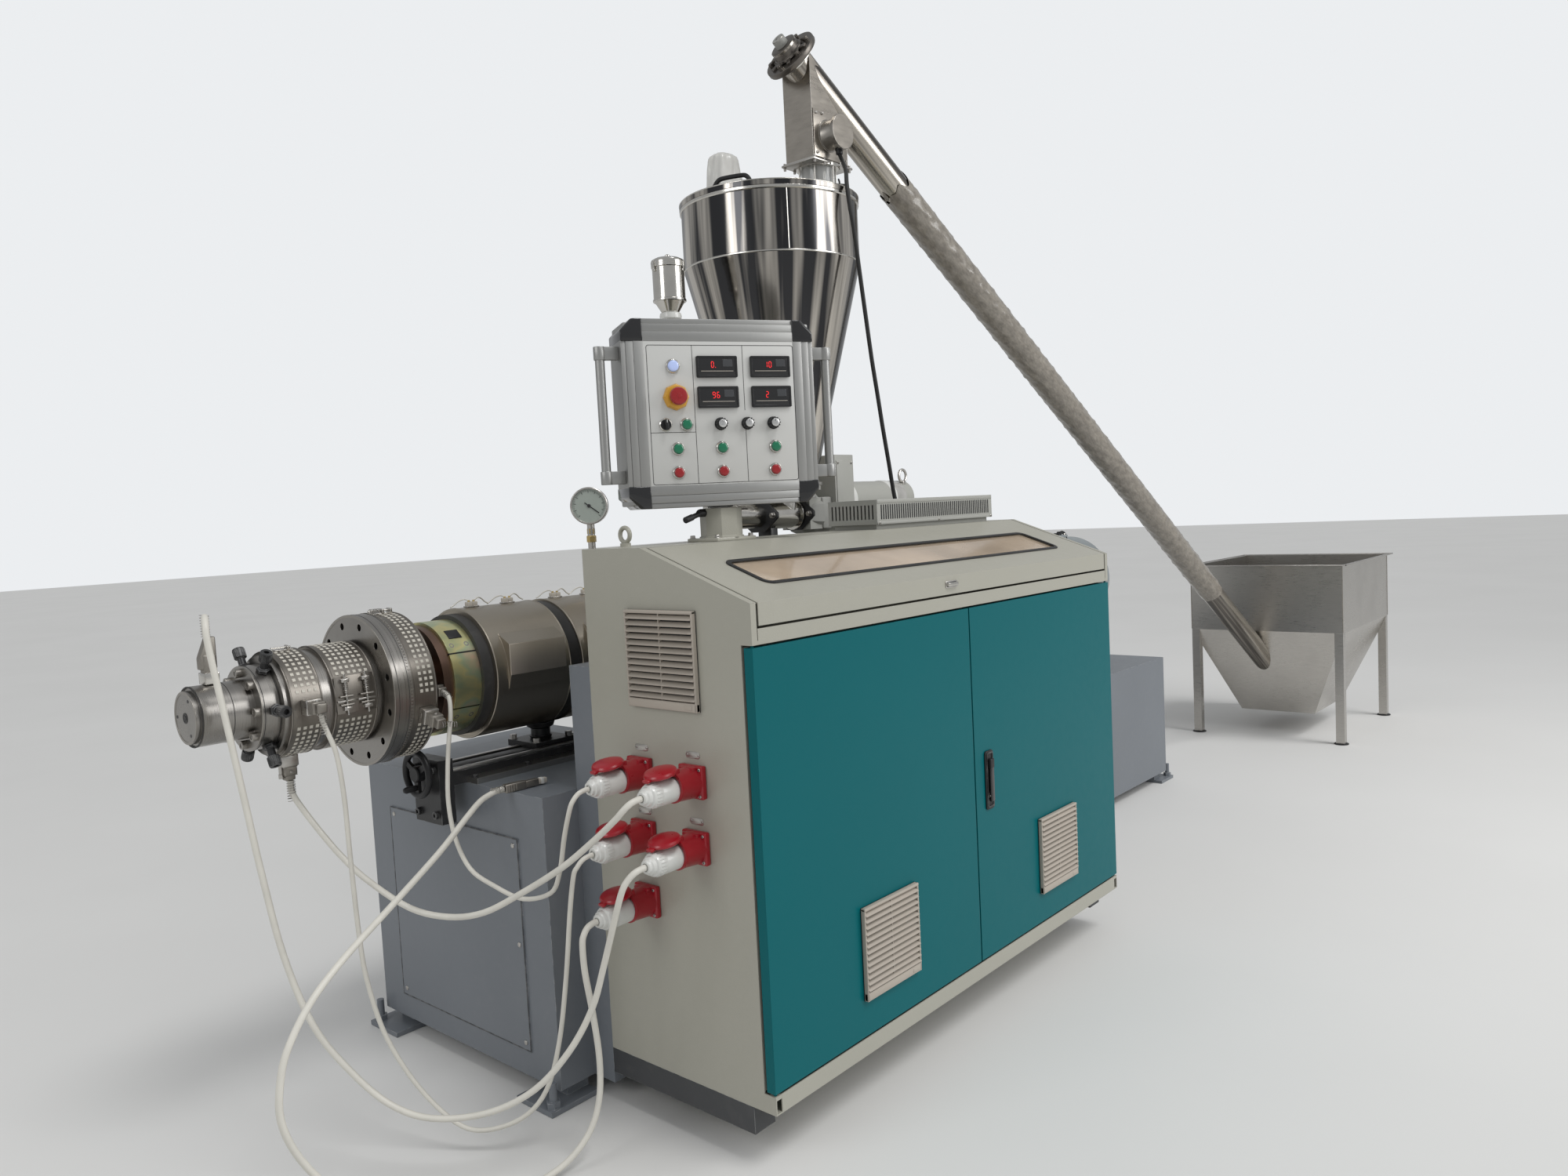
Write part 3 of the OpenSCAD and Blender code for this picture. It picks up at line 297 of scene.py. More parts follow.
def mirrorSteel():
    f = Finish("polishedSteel", Metallic=1.0)
    band = f.noise(1.0, 3, reflectionStreaks(hopperX, axisY, 3.4, 0.5)(f), 0.65)
    haze = f.noise(9, 4)
    # dark and bright upright bands: painted reflections of the hall on the polished hopper
    tone = f.blend(f.between(0.42, 0.6, band), (0.055, 0.055, 0.058), (0.72, 0.67, 0.6))
    f.dress(tone, haze * 0.1 + 0.1, haze, 0.15, 0.06, 1.5)


def tubeSteel():     # painted reflections: long dark and bright stripes down a polished tube
    f = Finish("tubeSteel", Metallic=1.0)
    x, y, z = f.split(alongTube(f))
    reflectionStripe = f.noise(1.0, 3, f.joined(x * 26, y * 26, z * 0.5), 0.6)
    haze = f.noise(14, 3)
    tone = f.blend(f.between(0.4, 0.62, reflectionStripe), (0.12, 0.11, 0.1), (0.56, 0.52, 0.46))
    f.dress(tone, haze * 0.1 + 0.16, haze, 0.1, 0.05, 1.0)


def filmSkin():
    f = Finish("stretchFilm", Coat_Weight=0.7, Coat_Roughness=0.15)
    x, y, z = f.split(alongTube(f))
    crease = f.noise(1.0, 5, f.joined(x * 44, y * 44, z * 30), 0.6)
    fine = f.noise(1.0, 3, f.joined(x * 150, y * 150, z * 60))
    # the colour follows the crease heights: painted shade in the troughs, lighter on the ridges
    tone = f.blend(f.between(0.36, 0.66, crease * 0.6 + fine * 0.4), (0.16, 0.14, 0.115), (0.3, 0.27, 0.225))
    f.dress(tone, crease * 0.3 + 0.2, crease + fine * 0.5, 4.0, 0.5, 0)


def zincGold():
    f = Finish("zincGold", Metallic=0.9)
    x, y, z = f.split(f.centred(-105, axisY, axisZ))
    hue = f.noise(1.0, 3, f.joined(x * 9, y * 9, z * 14))
    tone = f.add("ShaderNodeValToRGB", {"stops": [
        (0.32, (0.44, 0.5, 0.3)), (0.46, (0.72, 0.66, 0.33)), (0.54, (0.5, 0.58, 0.38)),
        (0.66, (0.78, 0.56, 0.4))]},
        {0: hue})
    f.dress(tone, hue * 0.2 + 0.22, f.noise(1.0, 2, aroundAxis(f)), 0.1, 0.15, 1.2)


painted("frameGrey", (0.17, 0.185, 0.205), 0.4, 0.1, 0.25, 300, wear=0.5)
painted("machineGrey", (0.36, 0.36, 0.33), 0.45, 0.08, 0.3, 260, wear=0.3)
painted("motorGrey", (0.3, 0.33, 0.34), 0.5, 0.08, 0.4, 200)
painted("beamGrey", (0.05, 0.052, 0.055), 0.5, 0.15, 0.3, 260, wear=0.4)
painted("cabinetBeige", (0.375, 0.365, 0.31), 0.38, 0.03, 0.5, 330, coat=0.15, depth=0.5)
painted("ventBeige", (0.42, 0.375, 0.32), 0.55, 0.04, 0.1, 500)
painted("doorTeal", (0.0, 0.115, 0.13), 0.34, 0.04, 0.15, 420, dirt=0.0, shine=0.14)
painted("blackSteel", (0.02, 0.02, 0.021), 0.38, 0.2, 0.3, 240, wear=0.35)
rubber("blackPlastic", (0.016, 0.016, 0.017), 0.42)
metal("brightSteel", (0.5, 0.49, 0.47), 0.32, lambda f: f.stretched(20, 900, 900))
painted("darkSteel", (0.035, 0.034, 0.033), 0.5, 0.2, 0.3, 240)
metal("coverTaupe", (0.4, 0.36, 0.3), 0.34, aroundAxis, 0.16, 0.1, 0.07, 1.5)
# a lighter copy of coverTaupe for the duct's flat face: painted light
metal("coverFlatLit", (0.72, 0.65, 0.56), 0.44, aroundAxis, 0.12, 0.08, 0.06, 1.5)
zincGold()
metal("brownSteel", (0.2, 0.13, 0.1), 0.34, turnedGrain, 0.2, 0.12, 0.3)
metal("turnedSteel", (0.33, 0.315, 0.295), 0.3, turnedGrain, 0.22, 0.22, 0.2, stain=0.5)
metal("stainless", (0.52, 0.5, 0.47), 0.3, lambda f: f.stretched(24, 24, 700), stain=0.15)
metal("bandSteel", (0.25, 0.23, 0.205), 0.34, aroundAxis, 0.2, 0.12, 0.2, stain=0.5)
mirrorSteel()
tubeSteel()
metal("headSteel", (0.42, 0.385, 0.34), 0.3, lambda f: f.stretched(20, 20, 90), 0.14, 0.05, 0.16, stain=0.4)
metal("bearingSteel", (0.17, 0.155, 0.14), 0.38, lambda f: f.stretched(70, 70, 70), 0.2, 0.2, 0.2)
metal("chrome", (0.62, 0.6, 0.56), 0.16, lambda f: f.stretched(30, 30, 30), 0.08, 0.04, 0.1)
metal("castPlug", (0.3, 0.28, 0.25), 0.46, lambda f: f.stretched(300, 300, 300), 0.2, 0.4, 0.14)
gloss("plugWhite", (0.66, 0.66, 0.63), 0.3)
gloss("cableWhite", (0.64, 0.62, 0.56), 0.5, 0.1, 0.1, 24)
rubber("cableBlack", (0.02, 0.02, 0.02), 0.5)
filmSkin()
seeThrough("sockFilm", (0.72, 0.71, 0.67), 0.72, 0.4)
seeThrough("clearPlastic", (0.62, 0.63, 0.62), 0.45, 0.12)
seeThrough("windowClear", (0.7, 0.56, 0.42), 0.66, 0.07, 0.35)
gloss("socketRed", (0.33, 0.003, 0.012), 0.3, coat=0.15)
metal("anodised", (0.37, 0.37, 0.36), 0.46, lambda f: f.stretched(900, 900, 14), 0.12, 0.06, 0.04)
gloss("glossBlack", (0.012, 0.012, 0.013), 0.12)
gloss("signRed", (0.3, 0.006, 0.009), 0.28)
gloss("signYellow", (0.6, 0.3, 0.015), 0.35)
gloss("lampGreen", (0.004, 0.16, 0.075), 0.25)
gloss("digitRed", (0.5, 0.01, 0.01), 0.3, Emission_Color=(1, 0.02, 0.03, 1), Emission_Strength=0.9)
metal("brass", (0.6, 0.45, 0.2), 0.3)
gloss("dialFace", (0.36, 0.4, 0.36), 0.2)
painted("ceramic", (0.5, 0.46, 0.4), 0.7, 0.12, 0.3, 300)
painted("panelFace", (0.56, 0.56, 0.54), 0.42, 0.03, 0.1, 600, depth=0.1)
metal("brushedCap", (0.66, 0.66, 0.65), 0.3, lambda f: f.stretched(200, 200, 900), 0.2, 0.1, 0.1)
gloss("meterSheen", (0.05, 0.052, 0.056), 0.1)
gloss("lampWhite", (0.4, 0.47, 0.72), 0.2, Emission_Color=(0.45, 0.6, 1, 1), Emission_Strength=0.2)
painted("padSilver", (0.6, 0.57, 0.5), 0.36, 0.12, 0.2, 300)
painted("castGrey", (0.3, 0.3, 0.28), 0.5, 0.08, 0.5, 160)
gloss("filmGrey", (0.4, 0.39, 0.37), 0.2, 0.3, 0.8, 22, 0.4)
metal("hazeSteel", (0.36, 0.34, 0.31), 0.36, lambda f: f.stretched(60, 60, 60), 0.2, 0.2, 0.2)
print("stage:", len(finish), "materials")

wornBy = {     # the finish of each part of the frame that keeps its own shape
    "frameGrey": "main_frame bench feet", "blackSteel": "slide_bed support_post centring_bolts",
    "brightSteel": "slide_ledges", "blackPlastic": "handwheel door_handle panel_controls",
    "darkSteel": "barrel", "coverTaupe": "barrel_covers", "zincGold": "clamp_ring",
    "brownSteel": "clamp_flange", "turnedSteel": "die_flange die_body mandrel",
    "bandSteel": "flange_heater heater_bands", "castPlug": "heater_connectors spare_connector",
    "machineGrey": "gearbox motor_feet feeder_drive slotted_guard", "motorGrey": "main_motor",
    "stainless": "vacuum_gauge loader_bin bin_legs", "chrome": "vent_cup feeder_body",
    "polishedSteel": "hopper_shell hopper_lid", "sockFilm": "vent_sock", "clearPlastic": "loader_spool",
    "headSteel": "loader_head", "tubeSteel": "loader_tube", "stretchFilm": "loader_wrap",
    "cabinetBeige": "cabinet_left cabinet_right cabinet_back cabinet_top lid_frame panel_post",
    "beamGrey": "base_beams", "doorTeal": "door_left door_right", "windowClear": "window_pane",
    "ventBeige": "side_vent vent_left_door vent_right_door", "socketRed": "sockets", "plugWhite": "plugs",
    "anodised": "panel_box",
}
for dress, nodes in wornBy.items():
    for node in nodes.split():
        coated(bpy.data.objects[node], dress)
print("stage: frame parts dressed")


# Cords: the same routes as the solids, in millimetres of the machine
cords = {
    "flangeLead": {"node": "cable_flange", "width": 10, "slot": "cable_white", "finish": "cableWhite",
                   "route": [
        (-146.3, 334, 765), (-156, 334, 765), (-171, 335, 761), (-182, 338, 750), (-187, 345, 732),
        (-184, 372, 672), (-178, 404, 590), (-173, 446, 537), (-184, 529, 512), (-200, 609, 530),
        (-214, 674, 560), (-222, 712, 625), (-220, 732, 700), (-210, 742, 770), (-200, 746, 830),
        (-190, 748, 884), (-184, 756, 918), (-182, 768, 932), (-182, 784, 937)]},
    "underLead": {"node": "cable_under", "width": 13, "slot": "cable_white", "finish": "cableWhite", "route": [
        (-146.3, 176, 766), (-156, 176, 766), (-172, 178, 762), (-184, 185, 751), (-193, 202, 731),
        (-208, 250, 688), (-230, 326, 628), (-258, 426, 566), (-293, 510, 520), (-326, 590, 505),
        (-362, 675, 518), (-400, 770, 570), (-425, 828, 620), (-448, 880, 680), (-466, 922, 735),
        (-471, 934, 760), (-471, 934, 780)]},
    "bandLead": {"node": "cable_band", "width": 10, "slot": "cable_white", "finish": "cableWhite", "route": [
        (-146.3, 334, 630), (-156, 334, 630), (-171, 335, 626), (-182, 339, 614), (-188, 346, 595),
        (-190, 362, 520), (-192, 386, 380), (-202, 410, 240), (-220, 440, 136), (-251, 485, 76),
        (-298, 553, 48),
        (-334, 604, 64), (-377, 667, 140), (-412, 718, 246), (-430, 744, 360), (-437, 752, 460),
        (-441, 756, 629), (-443, 758, 760), (-450, 762, 850), (-462, 770, 900), (-468, 775, 925),
        (-468, 775, 938)]},
    "mandrelLead": {"node": "cable_mandrel", "width": 13, "slot": "cable_white", "finish": "cableWhite",
                    "route": [
        (-146.3, 176, 631), (-156, 176, 631), (-172, 178, 627), (-185, 184, 615), (-194, 191, 596),
        (-200, 206, 550), (-208, 243, 441), (-222, 270, 354), (-252, 312, 268), (-296, 371, 192),
        (-354, 448, 146), (-423, 539, 136), (-474, 608, 166), (-520, 668, 236), (-561, 722, 330),
        (-590, 762, 472), (-608, 786, 632), (-620, 804, 770), (-630, 820, 888), (-636, 834, 970),
        (-642, 848, 1050), (-646, 857, 1110), (-642, 868, 1139), (-632, 895, 1151), (-622, 923, 1139),
        (-618, 934, 1121), (-618, 934, 1109)]},
    "spareLead": {"node": "cable_spare", "width": 13, "slot": "cable_white", "finish": "cableWhite", "route": [
        (-146.3, 334, 491), (-156, 334, 491), (-171, 333, 487), (-182, 332, 476), (-188, 331, 458),
        (-187, 330, 400), (-174, 330, 310), (-163, 332, 210), (-170, 332, 130), (-196, 334, 74),
        (-240, 346, 32),
        (-300, 364, 10), (-400, 384, 8), (-500, 410, 12), (-590, 440, 50), (-660, 458, 130), (-716, 470, 220),
        (-742, 474, 300), (-735, 478, 370), (-712, 486, 420), (-660, 502, 475), (-582, 526, 522),
        (-461, 565, 575), (-326, 608, 636), (-240, 640, 680), (-185, 664, 703), (-150, 673, 711),
        (-130, 675.4, 714), (-115.2, 674.1, 714.4)]},
    "loaderLead": {"node": "cable_loader", "width": 13, "slot": "cable_black", "finish": "cableBlack",
                   "route": [
        (1340, 756, 2439.2), (1340, 755, 2422), (1328, 735, 2391), (1269, 680, 2340), (1220, 642, 2281),
        (1208, 626, 2212),
        (1214, 620, 2150), (1234, 620, 2026), (1256, 620, 1890), (1278, 620, 1758), (1300, 620, 1650),
        (1320, 620, 1549),
        (1344, 620, 1440), (1364, 618, 1335), (1370, 600, 1250), (1370, 565, 1150), (1366, 530, 1060),
        (1364, 525, 1010), (1364, 525, 985)]},
}


def smoothRoute(points, steps=5):
    spots = [Vector(p) for p in points]
    line = []
    for i in range(len(spots) - 1):
        a, b, c, d = (spots[max(i - 1, 0)], spots[i], spots[i + 1], spots[min(i + 2, len(spots) - 1)])
        for k in range(steps):
            t = k / steps
            line.append(0.5 * (2 * b + (c - a) * t + (2 * a - 5 * b + 4 * c - d) * t * t
                               + (3 * b - a - 3 * c + d) * t * t * t))
    return line + [spots[-1]]


def curveAlong(name, line, radius, resolution, closed=False):     # a round line through points in metres
    curve = bpy.data.curves.new(name, "CURVE")
    curve.dimensions, curve.bevel_depth, curve.bevel_resolution = "3D", radius * mm, resolution
    curve.use_fill_caps = closed
    spline = curve.splines.new("POLY")
    spline.points.add(len(line) - 1)
    for point, spot in zip(spline.points, line):
        point.co = (*spot, 1)
    piece = bpy.data.objects.new(name, curve)
    scene.collection.objects.link(piece)
    return piece


def lead(name, facts):
    line = [machine @ (p * mm) for p in smoothRoute(facts["route"])]
    piece = curveAlong(name, line, facts["width"] / 2, 5)
    piece.data.splines[0].use_smooth = True
    piece.data.materials.append(finish[facts["finish"]])
    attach(piece, "machine")
    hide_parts(facts["node"])
    length = sum((b - a).length for a, b in zip(line, line[1:]))
    print("cord", name, round(length, 3), "m")


for name, facts in cords.items():
    lead(name, facts)
print("stage: cords")


# Bench tools: each returns a part in the local millimetre frame of the piece it is made for
def soften(part, width, segments=2, angle=30):
    if width:
        bevel = part.modifiers.new("bevel", "BEVEL")
        bevel.width, bevel.segments = width * mm, segments
        bevel.limit_method, bevel.angle_limit = "ANGLE", math.radians(angle)
        bpy.context.view_layer.objects.active = part
        bpy.ops.object.modifier_apply(modifier="bevel")
    return part


def block(low, high, dress, bevel=1.0, segments=2):
    clearSelection()
    middle = [(a + b) / 2 * mm for a, b in zip(low, high)]
    bpy.ops.mesh.primitive_cube_add(size=1, location=middle)
    part = bpy.context.object
    part.scale = [abs(b - a) * mm for a, b in zip(low, high)]
    applied()
    return coated(soften(part, bevel, segments), dress)


def turned(stations, dress, sides=48, hole=False):     # (height, radius) pairs, drawn out ring by ring
    clearSelection()
    height, radius = stations[0]
    bpy.ops.mesh.primitive_circle_add(vertices=sides, radius=radius * mm, location=(0, 0, height * mm),
                                      fill_type="NOTHING" if hole else "NGON")
    part = bpy.context.object
    applied()
    editing()
    for nextHeight, nextRadius in stations[1:]:
        drawnOut(0, 0, (nextHeight - height) * mm)
        grow = nextRadius / radius
        bpy.ops.transform.resize(value=(grow, grow, 1), center_override=(0, 0, nextHeight * mm))
        height, radius = nextHeight, nextRadius
    bpy.ops.mesh.select_all(action="SELECT")
    if hole:
        bpy.ops.mesh.remove_doubles(threshold=1e-6)
    bpy.ops.mesh.normals_make_consistent(inside=False)
    editing(False)
    return coated(part, dress)


def sleeve(z0, z1, inner, outer, dress, sides=64, lip=0.8):     # a ring with softened outer edges
    return turned([(z0, inner), (z0, outer - lip), (z0 + lip, outer), (z1 - lip, outer), (z1, outer - lip),
                   (z1, inner), (z0, inner)], dress, sides, True)


def loopFrame(width, height, band, thick, radius, dress, bevel=0.0):     # flat, with round corners, in XY
    clearSelection()
    bpy.ops.mesh.primitive_plane_add(size=1)
    part = bpy.context.object
    part.scale = (width * mm, height * mm, 1)
    applied()
    editing()
    if radius:
        bpy.ops.mesh.bevel(offset=radius * mm, segments=6, affect="VERTICES")
        bpy.ops.mesh.select_all(action="SELECT")
    if band:
        bpy.ops.mesh.inset(thickness=band * mm)
        bpy.ops.mesh.delete(type="FACE")
        bpy.ops.mesh.select_all(action="SELECT")
    drawnOut(0, 0, thick * mm)
    bpy.ops.mesh.select_all(action="SELECT")
    bpy.ops.mesh.normals_make_consistent(inside=False)
    editing(False)
    return coated(soften(part, bevel, 2, 50), dress)


def cutOff(part, point, normal):     # removes what lies beyond a plane and closes the cut
    only(part)
    editing()
    bpy.ops.mesh.bisect(plane_co=[c * mm for c in point], plane_no=normal, use_fill=True, clear_outer=True)
    editing(False)
    return part


def moved(part, place):
    part.data.transform(place)
    return part


def at(part, x, y, z, angle=0, axis="Z"):     # turned about its own origin, then moved to a point
    return moved(part, shift(x, y, z) @ turn(angle, axis))


def group(parts, place):
    return [moved(part, place) for part in parts]


def copies(part, places):     # one made, then one copy at each place, each with its own mesh
    made = []
    for place in places:
        twin = part.copy()
        twin.data = part.data.copy()
        twin.data.transform(place)
        scene.collection.objects.link(twin)
        made.append(twin)
    bpy.data.objects.remove(part)
    return made


def upright(place=Matrix()):     # stands a part's local Z on the front's outward side
    return place @ turn(90, "X")


def welded(parts):     # several parts made one
    clearSelection()
    for part in parts:
        part.select_set(True)
    bpy.context.view_layer.objects.active = parts[0]
    if len(parts) > 1:
        bpy.ops.object.join()
    return bpy.context.object


def settled(parts, name, place=machine, replaces=(), body="machine", smooth=35):
    piece = welded(parts)
    piece.name = piece.data.name = name
    piece.matrix_world = place
    applied()
    bpy.ops.object.shade_smooth_by_angle(angle=math.radians(smooth))
    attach(piece, body)
    if replaces:
        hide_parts(*replaces)
    return piece


def socketScrew(radius, height, dress="stainless", sides=16):
    return turned([(0, radius), (height - 0.8, radius), (height, radius - 0.8), (height, radius * 0.5),
                   (height - radius * 0.8, radius * 0.45)], dress, sides)


def hexBolt(radius, height, dress="stainless"):
    return turned([(0, radius * 1.25), (1.2, radius * 1.25), (1.2, radius), (height - 1, radius),
                   (height, radius * 0.86), (height, radius * 0.3)], dress, 6)


def onRing(x, radius, angle):     # on a cylinder about the screw axis, from the top to the operator
    c, s = math.cos(math.radians(angle)), math.sin(math.radians(angle))
    return Matrix(((1, 0, 0, x * mm), (0, c, -s, (axisY - radius * s) * mm),
                   (0, s, c, (axisZ + radius * c) * mm),
                   (0, 0, 0, 1)))


def rod(start, end, radius, dress, sides=16, ends=0.5):     # a straight bar between two points
    a, b = Vector(start), Vector(end)
    length = (b - a).length
    part = turned([(0, radius - ends), (ends, radius), (length - ends, radius), (length, radius - ends)], dress,
                  sides)
    return moved(part, Matrix.Translation(a * mm) @ (b - a).to_track_quat("Z", "Y").to_matrix().to_4x4())


def wireAlong(points, radius, dress, sides=8, steps=4):     # a round wire along a smooth route, as a mesh
    line = [spot * mm for spot in smoothRoute(points, steps)]
    only(curveAlong("wire", line, radius, max(0, sides // 4 - 1), True))
    bpy.ops.object.convert(target="MESH")
    return coated(bpy.context.object, dress)


def coil(length, radius, wire, turns, dress):     # a spring along local Z
    points = []
    for i in range(turns * 8 + 1):
        angle = i / 8 * 2 * math.pi
        points.append((radius * math.cos(angle), radius * math.sin(angle), length * i / (turns * 8)))
    return wireAlong(points, wire, dress, 4, 1)


# Filter vents: a frame, tilted slats, a plain strip at the foot, and a black back plate as painted shade
# between the slats
vent = {"side": 204, "depth": 12, "slats": 13, "foot": 19, "tilt": 33, "slatDeep": 15, "slatThick": 2.6}


def filterVent(name, place, body, node):
    side, deep = vent["side"], vent["depth"]
    # the back plate is black to paint the shade between the slats
    parts = [block((0, -3, 0), (side, 0, side), "blackPlastic", 0.5),
             block((0, -deep, 0), (side, -1, vent["foot"]), "ventBeige", 2.5),
             block((0, -deep, 0), (5, -1, side), "ventBeige", 1.5),
             block((side - 5, -deep, 0), (side, -1, side), "ventBeige", 1.5),
             block((0, -deep - 1, side - 7), (side, -1, side), "ventBeige", 2.0)]
    pitch = (side - vent["foot"] - 8) / vent["slats"]
    slat = block((3, -vent["slatDeep"] / 2, -vent["slatThick"] / 2),
                 (side - 3, vent["slatDeep"] / 2, vent["slatThick"] / 2),
                 "ventBeige", 0.9)
    slat = moved(slat, turn(vent["tilt"], "X"))
    parts += copies(slat, [shift(0, -8.2, vent["foot"] + pitch * (i + 0.55)) for i in range(vent["slats"])])
    parts.append(block((side / 2 - 1.5, -9, vent["foot"]), (side / 2 + 1.5, -2, side - 6), "ventBeige", 0.4))
    parts.append(block((side - 34, -deep - 0.6, 5), (side - 12, -deep + 1, 14), "ventBeige", 0.5))
    return settled(parts, name, place, [node], body)


filterVent("sideVentLouvres", endWall @ shift(-352, 0, 911), "machine", "side_vent")
filterVent("leftDoorLouvres", machine @ shift(295, 0, 245), "door_left", "vent_left_door")
filterVent("rightDoorLouvres", machine @ shift(1083, 0, 245), "door_right", "vent_right_door")
print("stage: vents")


# Wall sockets with raised flip lids, and the white plugs in them
socket = {"flange": 68, "base": 14, "places": [(334, 769), (334, 634), (334, 495), (176, 770), (176, 635)]}


def wallSocket():
    half = socket["flange"] / 2
    parts = [block((-half, -socket["base"], -half), (half, 0, half), "socketRed", 3.5, 3)]
    collar = turned([(8, 34), (14, 33.6), (58, 31), (61, 32), (66, 31.8), (66, 26), (58, 25.8)],
                    "socketRed", 40)
    parts.append(moved(collar, upright()))
    parts.append(block((-21, -26, 24), (21, -8, 33), "socketRed", 2.5))
    parts += [block((x - 3, -72, 24), (x + 3, -52, 37), "socketRed", 1.5) for x in (-10, 10)]
    parts.append(at(rod((-14, 0, 0), (14, 0, 0), 2.4, "stainless", 10), 0, -66, 33))
    lid = turned([(0, 32), (1.5, 33.8), (5, 34), (8.5, 31.5), (11, 24), (12.4, 13), (12.8, 3)], "socketRed", 40)
    parts.append(at(lid, 0, -92, 31.5, 11, "X"))
    parts.append(at(block((-8, -8, -3), (8, 2, 3), "socketRed", 1.5), 0, -126, 27, 11, "X"))
    screw = moved(socketScrew(3.4, 2.2, sides=10), upright())
    parts += copies(screw, [shift(x, -socket["base"], z) for x in (-27, 27) for z in (-27, 27)])
    return parts


def cablePlug():
    body = turned([(58, 24.6), (104, 25), (107, 24.2), (110, 24.8), (124, 24.4), (129, 22.5), (131, 19),
                   (138, 17.6),
                   (140, 14.6), (145, 13.4), (146, 12), (146, 8), (143, 7.4)], "plugWhite", 40)
    parts = [body]
    rib = block((-0.9, 23.9, 110), (0.9, 25.2, 124), "plugWhite", 0.4, 1)
    parts += copies(rib, [turn(a, "Z") for a in range(0, 360, 15)])
    return group(parts, upright(shift(0, 0, -4)))


sockets, plugs = [], []
for y, z in socket["places"]:
    sockets += group(wallSocket(), shift(-y, 0, z))
    plugs += group(cablePlug(), shift(-y, 0, z))
settled(sockets, "wallSockets", endWall, ["sockets"])
settled(plugs, "cablePlugs", endWall, ["plugs"])
tags = []
for y, z in ((332, 822), (178, 822), (333, 686), (177, 686)):
    tag = loopFrame(40, 14, 0, 1.0, 6.9, "stainless", 0.3)
    tags.append(at(tag, -y, 0, z, 90, "X"))
    tags += copies(moved(socketScrew(2.0, 1.4, sides=10), upright()),
                   [shift(-y + d, -1, z) for d in (-15, 15)])
settled(tags, "bareTags", endWall)
print("stage: sockets and plugs")


# Lid: window seal, pressed rim and latch; door handle
lidParts = {"windowLow": (136, 77), "windowHigh": (1397, 208), "corner": 26}
low, high = lidParts["windowLow"], lidParts["windowHigh"]
seal = loopFrame(high[0] - low[0] + 8, high[1] - low[1] + 8, 11, 4, lidParts["corner"], "blackPlastic", 1.6)
settled([at(seal, (low[0] + high[0]) / 2, (low[1] + high[1]) / 2, -0.6)], "windowSeal",
        lidPlane, body="lid")
latch = [at(loopFrame(50, 17, 0, 1.6, 3, "stainless", 0.5), 704, 0, 1111, 90, "X"),
         block((684, -2.2, 1105), (724, -1, 1117), "blackSteel", 0.3),
         block((682, -8, 1106.5), (726, -4.4, 1115.5), "chrome", 1.7, 3),
         block((683, -6, 1108), (688, 0, 1114), "chrome", 1),
         block((720, -6, 1108), (725, 0, 1114), "chrome", 1)]
settled(latch, "lidLatch", body="lid")
handle = [at(loopFrame(38, 148, 0, 4, 8, "blackPlastic", 1.2), 841, 0, 610, 90, "X"),
          at(loopFrame(30, 138, 3, 3, 5, "blackSteel", 0.6), 841, -3.5, 610, 90, "X"),
          block((833, -13, 556), (849, -5, 650), "glossBlack", 3, 3),
          block((832, -13.5, 640), (850, -4, 664), "blackPlastic", 2.5, 3),
          moved(turned([(0, 8.5), (5, 8.5), (6, 7.6), (6, 3), (4.5, 2.6)], "chrome", 24),
                upright(shift(841, -3.6, 571)))]
settled(handle, "swingHandle", replaces=["door_handle"], body="door_right")
print("stage: lid and handle")


# Control panel: ribbed aluminium frame, black corners, plain face, meters and buttons
panel = {"width": 454, "height": 420, "deep": 120, "frame": 50, "corner": 26}
wide, tall, edge = panel["width"], panel["height"], panel["frame"]
shell = [block((8, 6, 8), (wide - 8, panel["deep"], tall - 8), "anodised", 3)]
steps = ((0, 11, 2.2), (11, 28, 0.8), (28, 50, 0.0))     # from the outer edge inwards, and how far back
for out, into, back in steps:
    a, b = out + 0.2, into - 0.05
    shell.append(block((edge - 2, back, a), (wide - edge + 2, 112, b), "anodised", 0.5))
    shell.append(block((edge - 2, back, tall - b), (wide - edge + 2, 112, tall - a), "anodised", 0.5))
    shell.append(block((a, back, edge - 2), (b, 112, tall - edge + 2), "anodised", 0.5))
    shell.append(block((wide - b, back, edge - 2), (wide - a, 112, tall - edge + 2), "anodised", 0.5))
settled(shell, "panelShell", panelFace, ["panel_box"], "panel")
caps = []
for sx, sz in ((-1, -1), (-1, 1), (1, -1), (1, 1)):
    cx, cz = wide / 2 * (1 + sx), tall / 2 * (1 + sz)
    cap = block((min(cx, cx - sx * edge), -1, min(cz, cz - sz * edge)),
                (max(cx, cx - sx * edge), 119, max(cz, cz - sz * edge)), "glossBlack", 0)
    cut = panel["corner"]
    cap = cutOff(cap, (cx - sx * cut, 0, cz), (sx, 0, sz))
    cap = cutOff(cap, (cx - sx * cut * 0.62, -1, cz - sz * cut * 0.62), (sx * 0.5, -0.7, sz * 0.5))
    caps.append(soften(cap, 2.2, 3, 20))
settled(caps, "panelCorners", panelFace, body="panel")
face = [block((edge - 1, 0.5, edge - 1), (wide - edge + 1, 9, tall - edge + 1), "panelFace", 0.6)]
line = at(loopFrame(348, 310, 1.1, 0.5, 6, "blackPlastic"), 230, 0.6, 207, 90, "X")
face.append(line)
for box in (((160.5, 0.1, 52), (161.5, 1, 362)), ((279.5, 0.1, 215), (280.5, 1, 362)),
            ((279.5, 0.1, 52), (280.5, 1, 178)), ((56, 0.1, 167.5), (161, 1, 168.5))):
    face.append(block(*box, "blackPlastic", 0))
settled(face, "panelFacePlate", panelFace, body="panel")

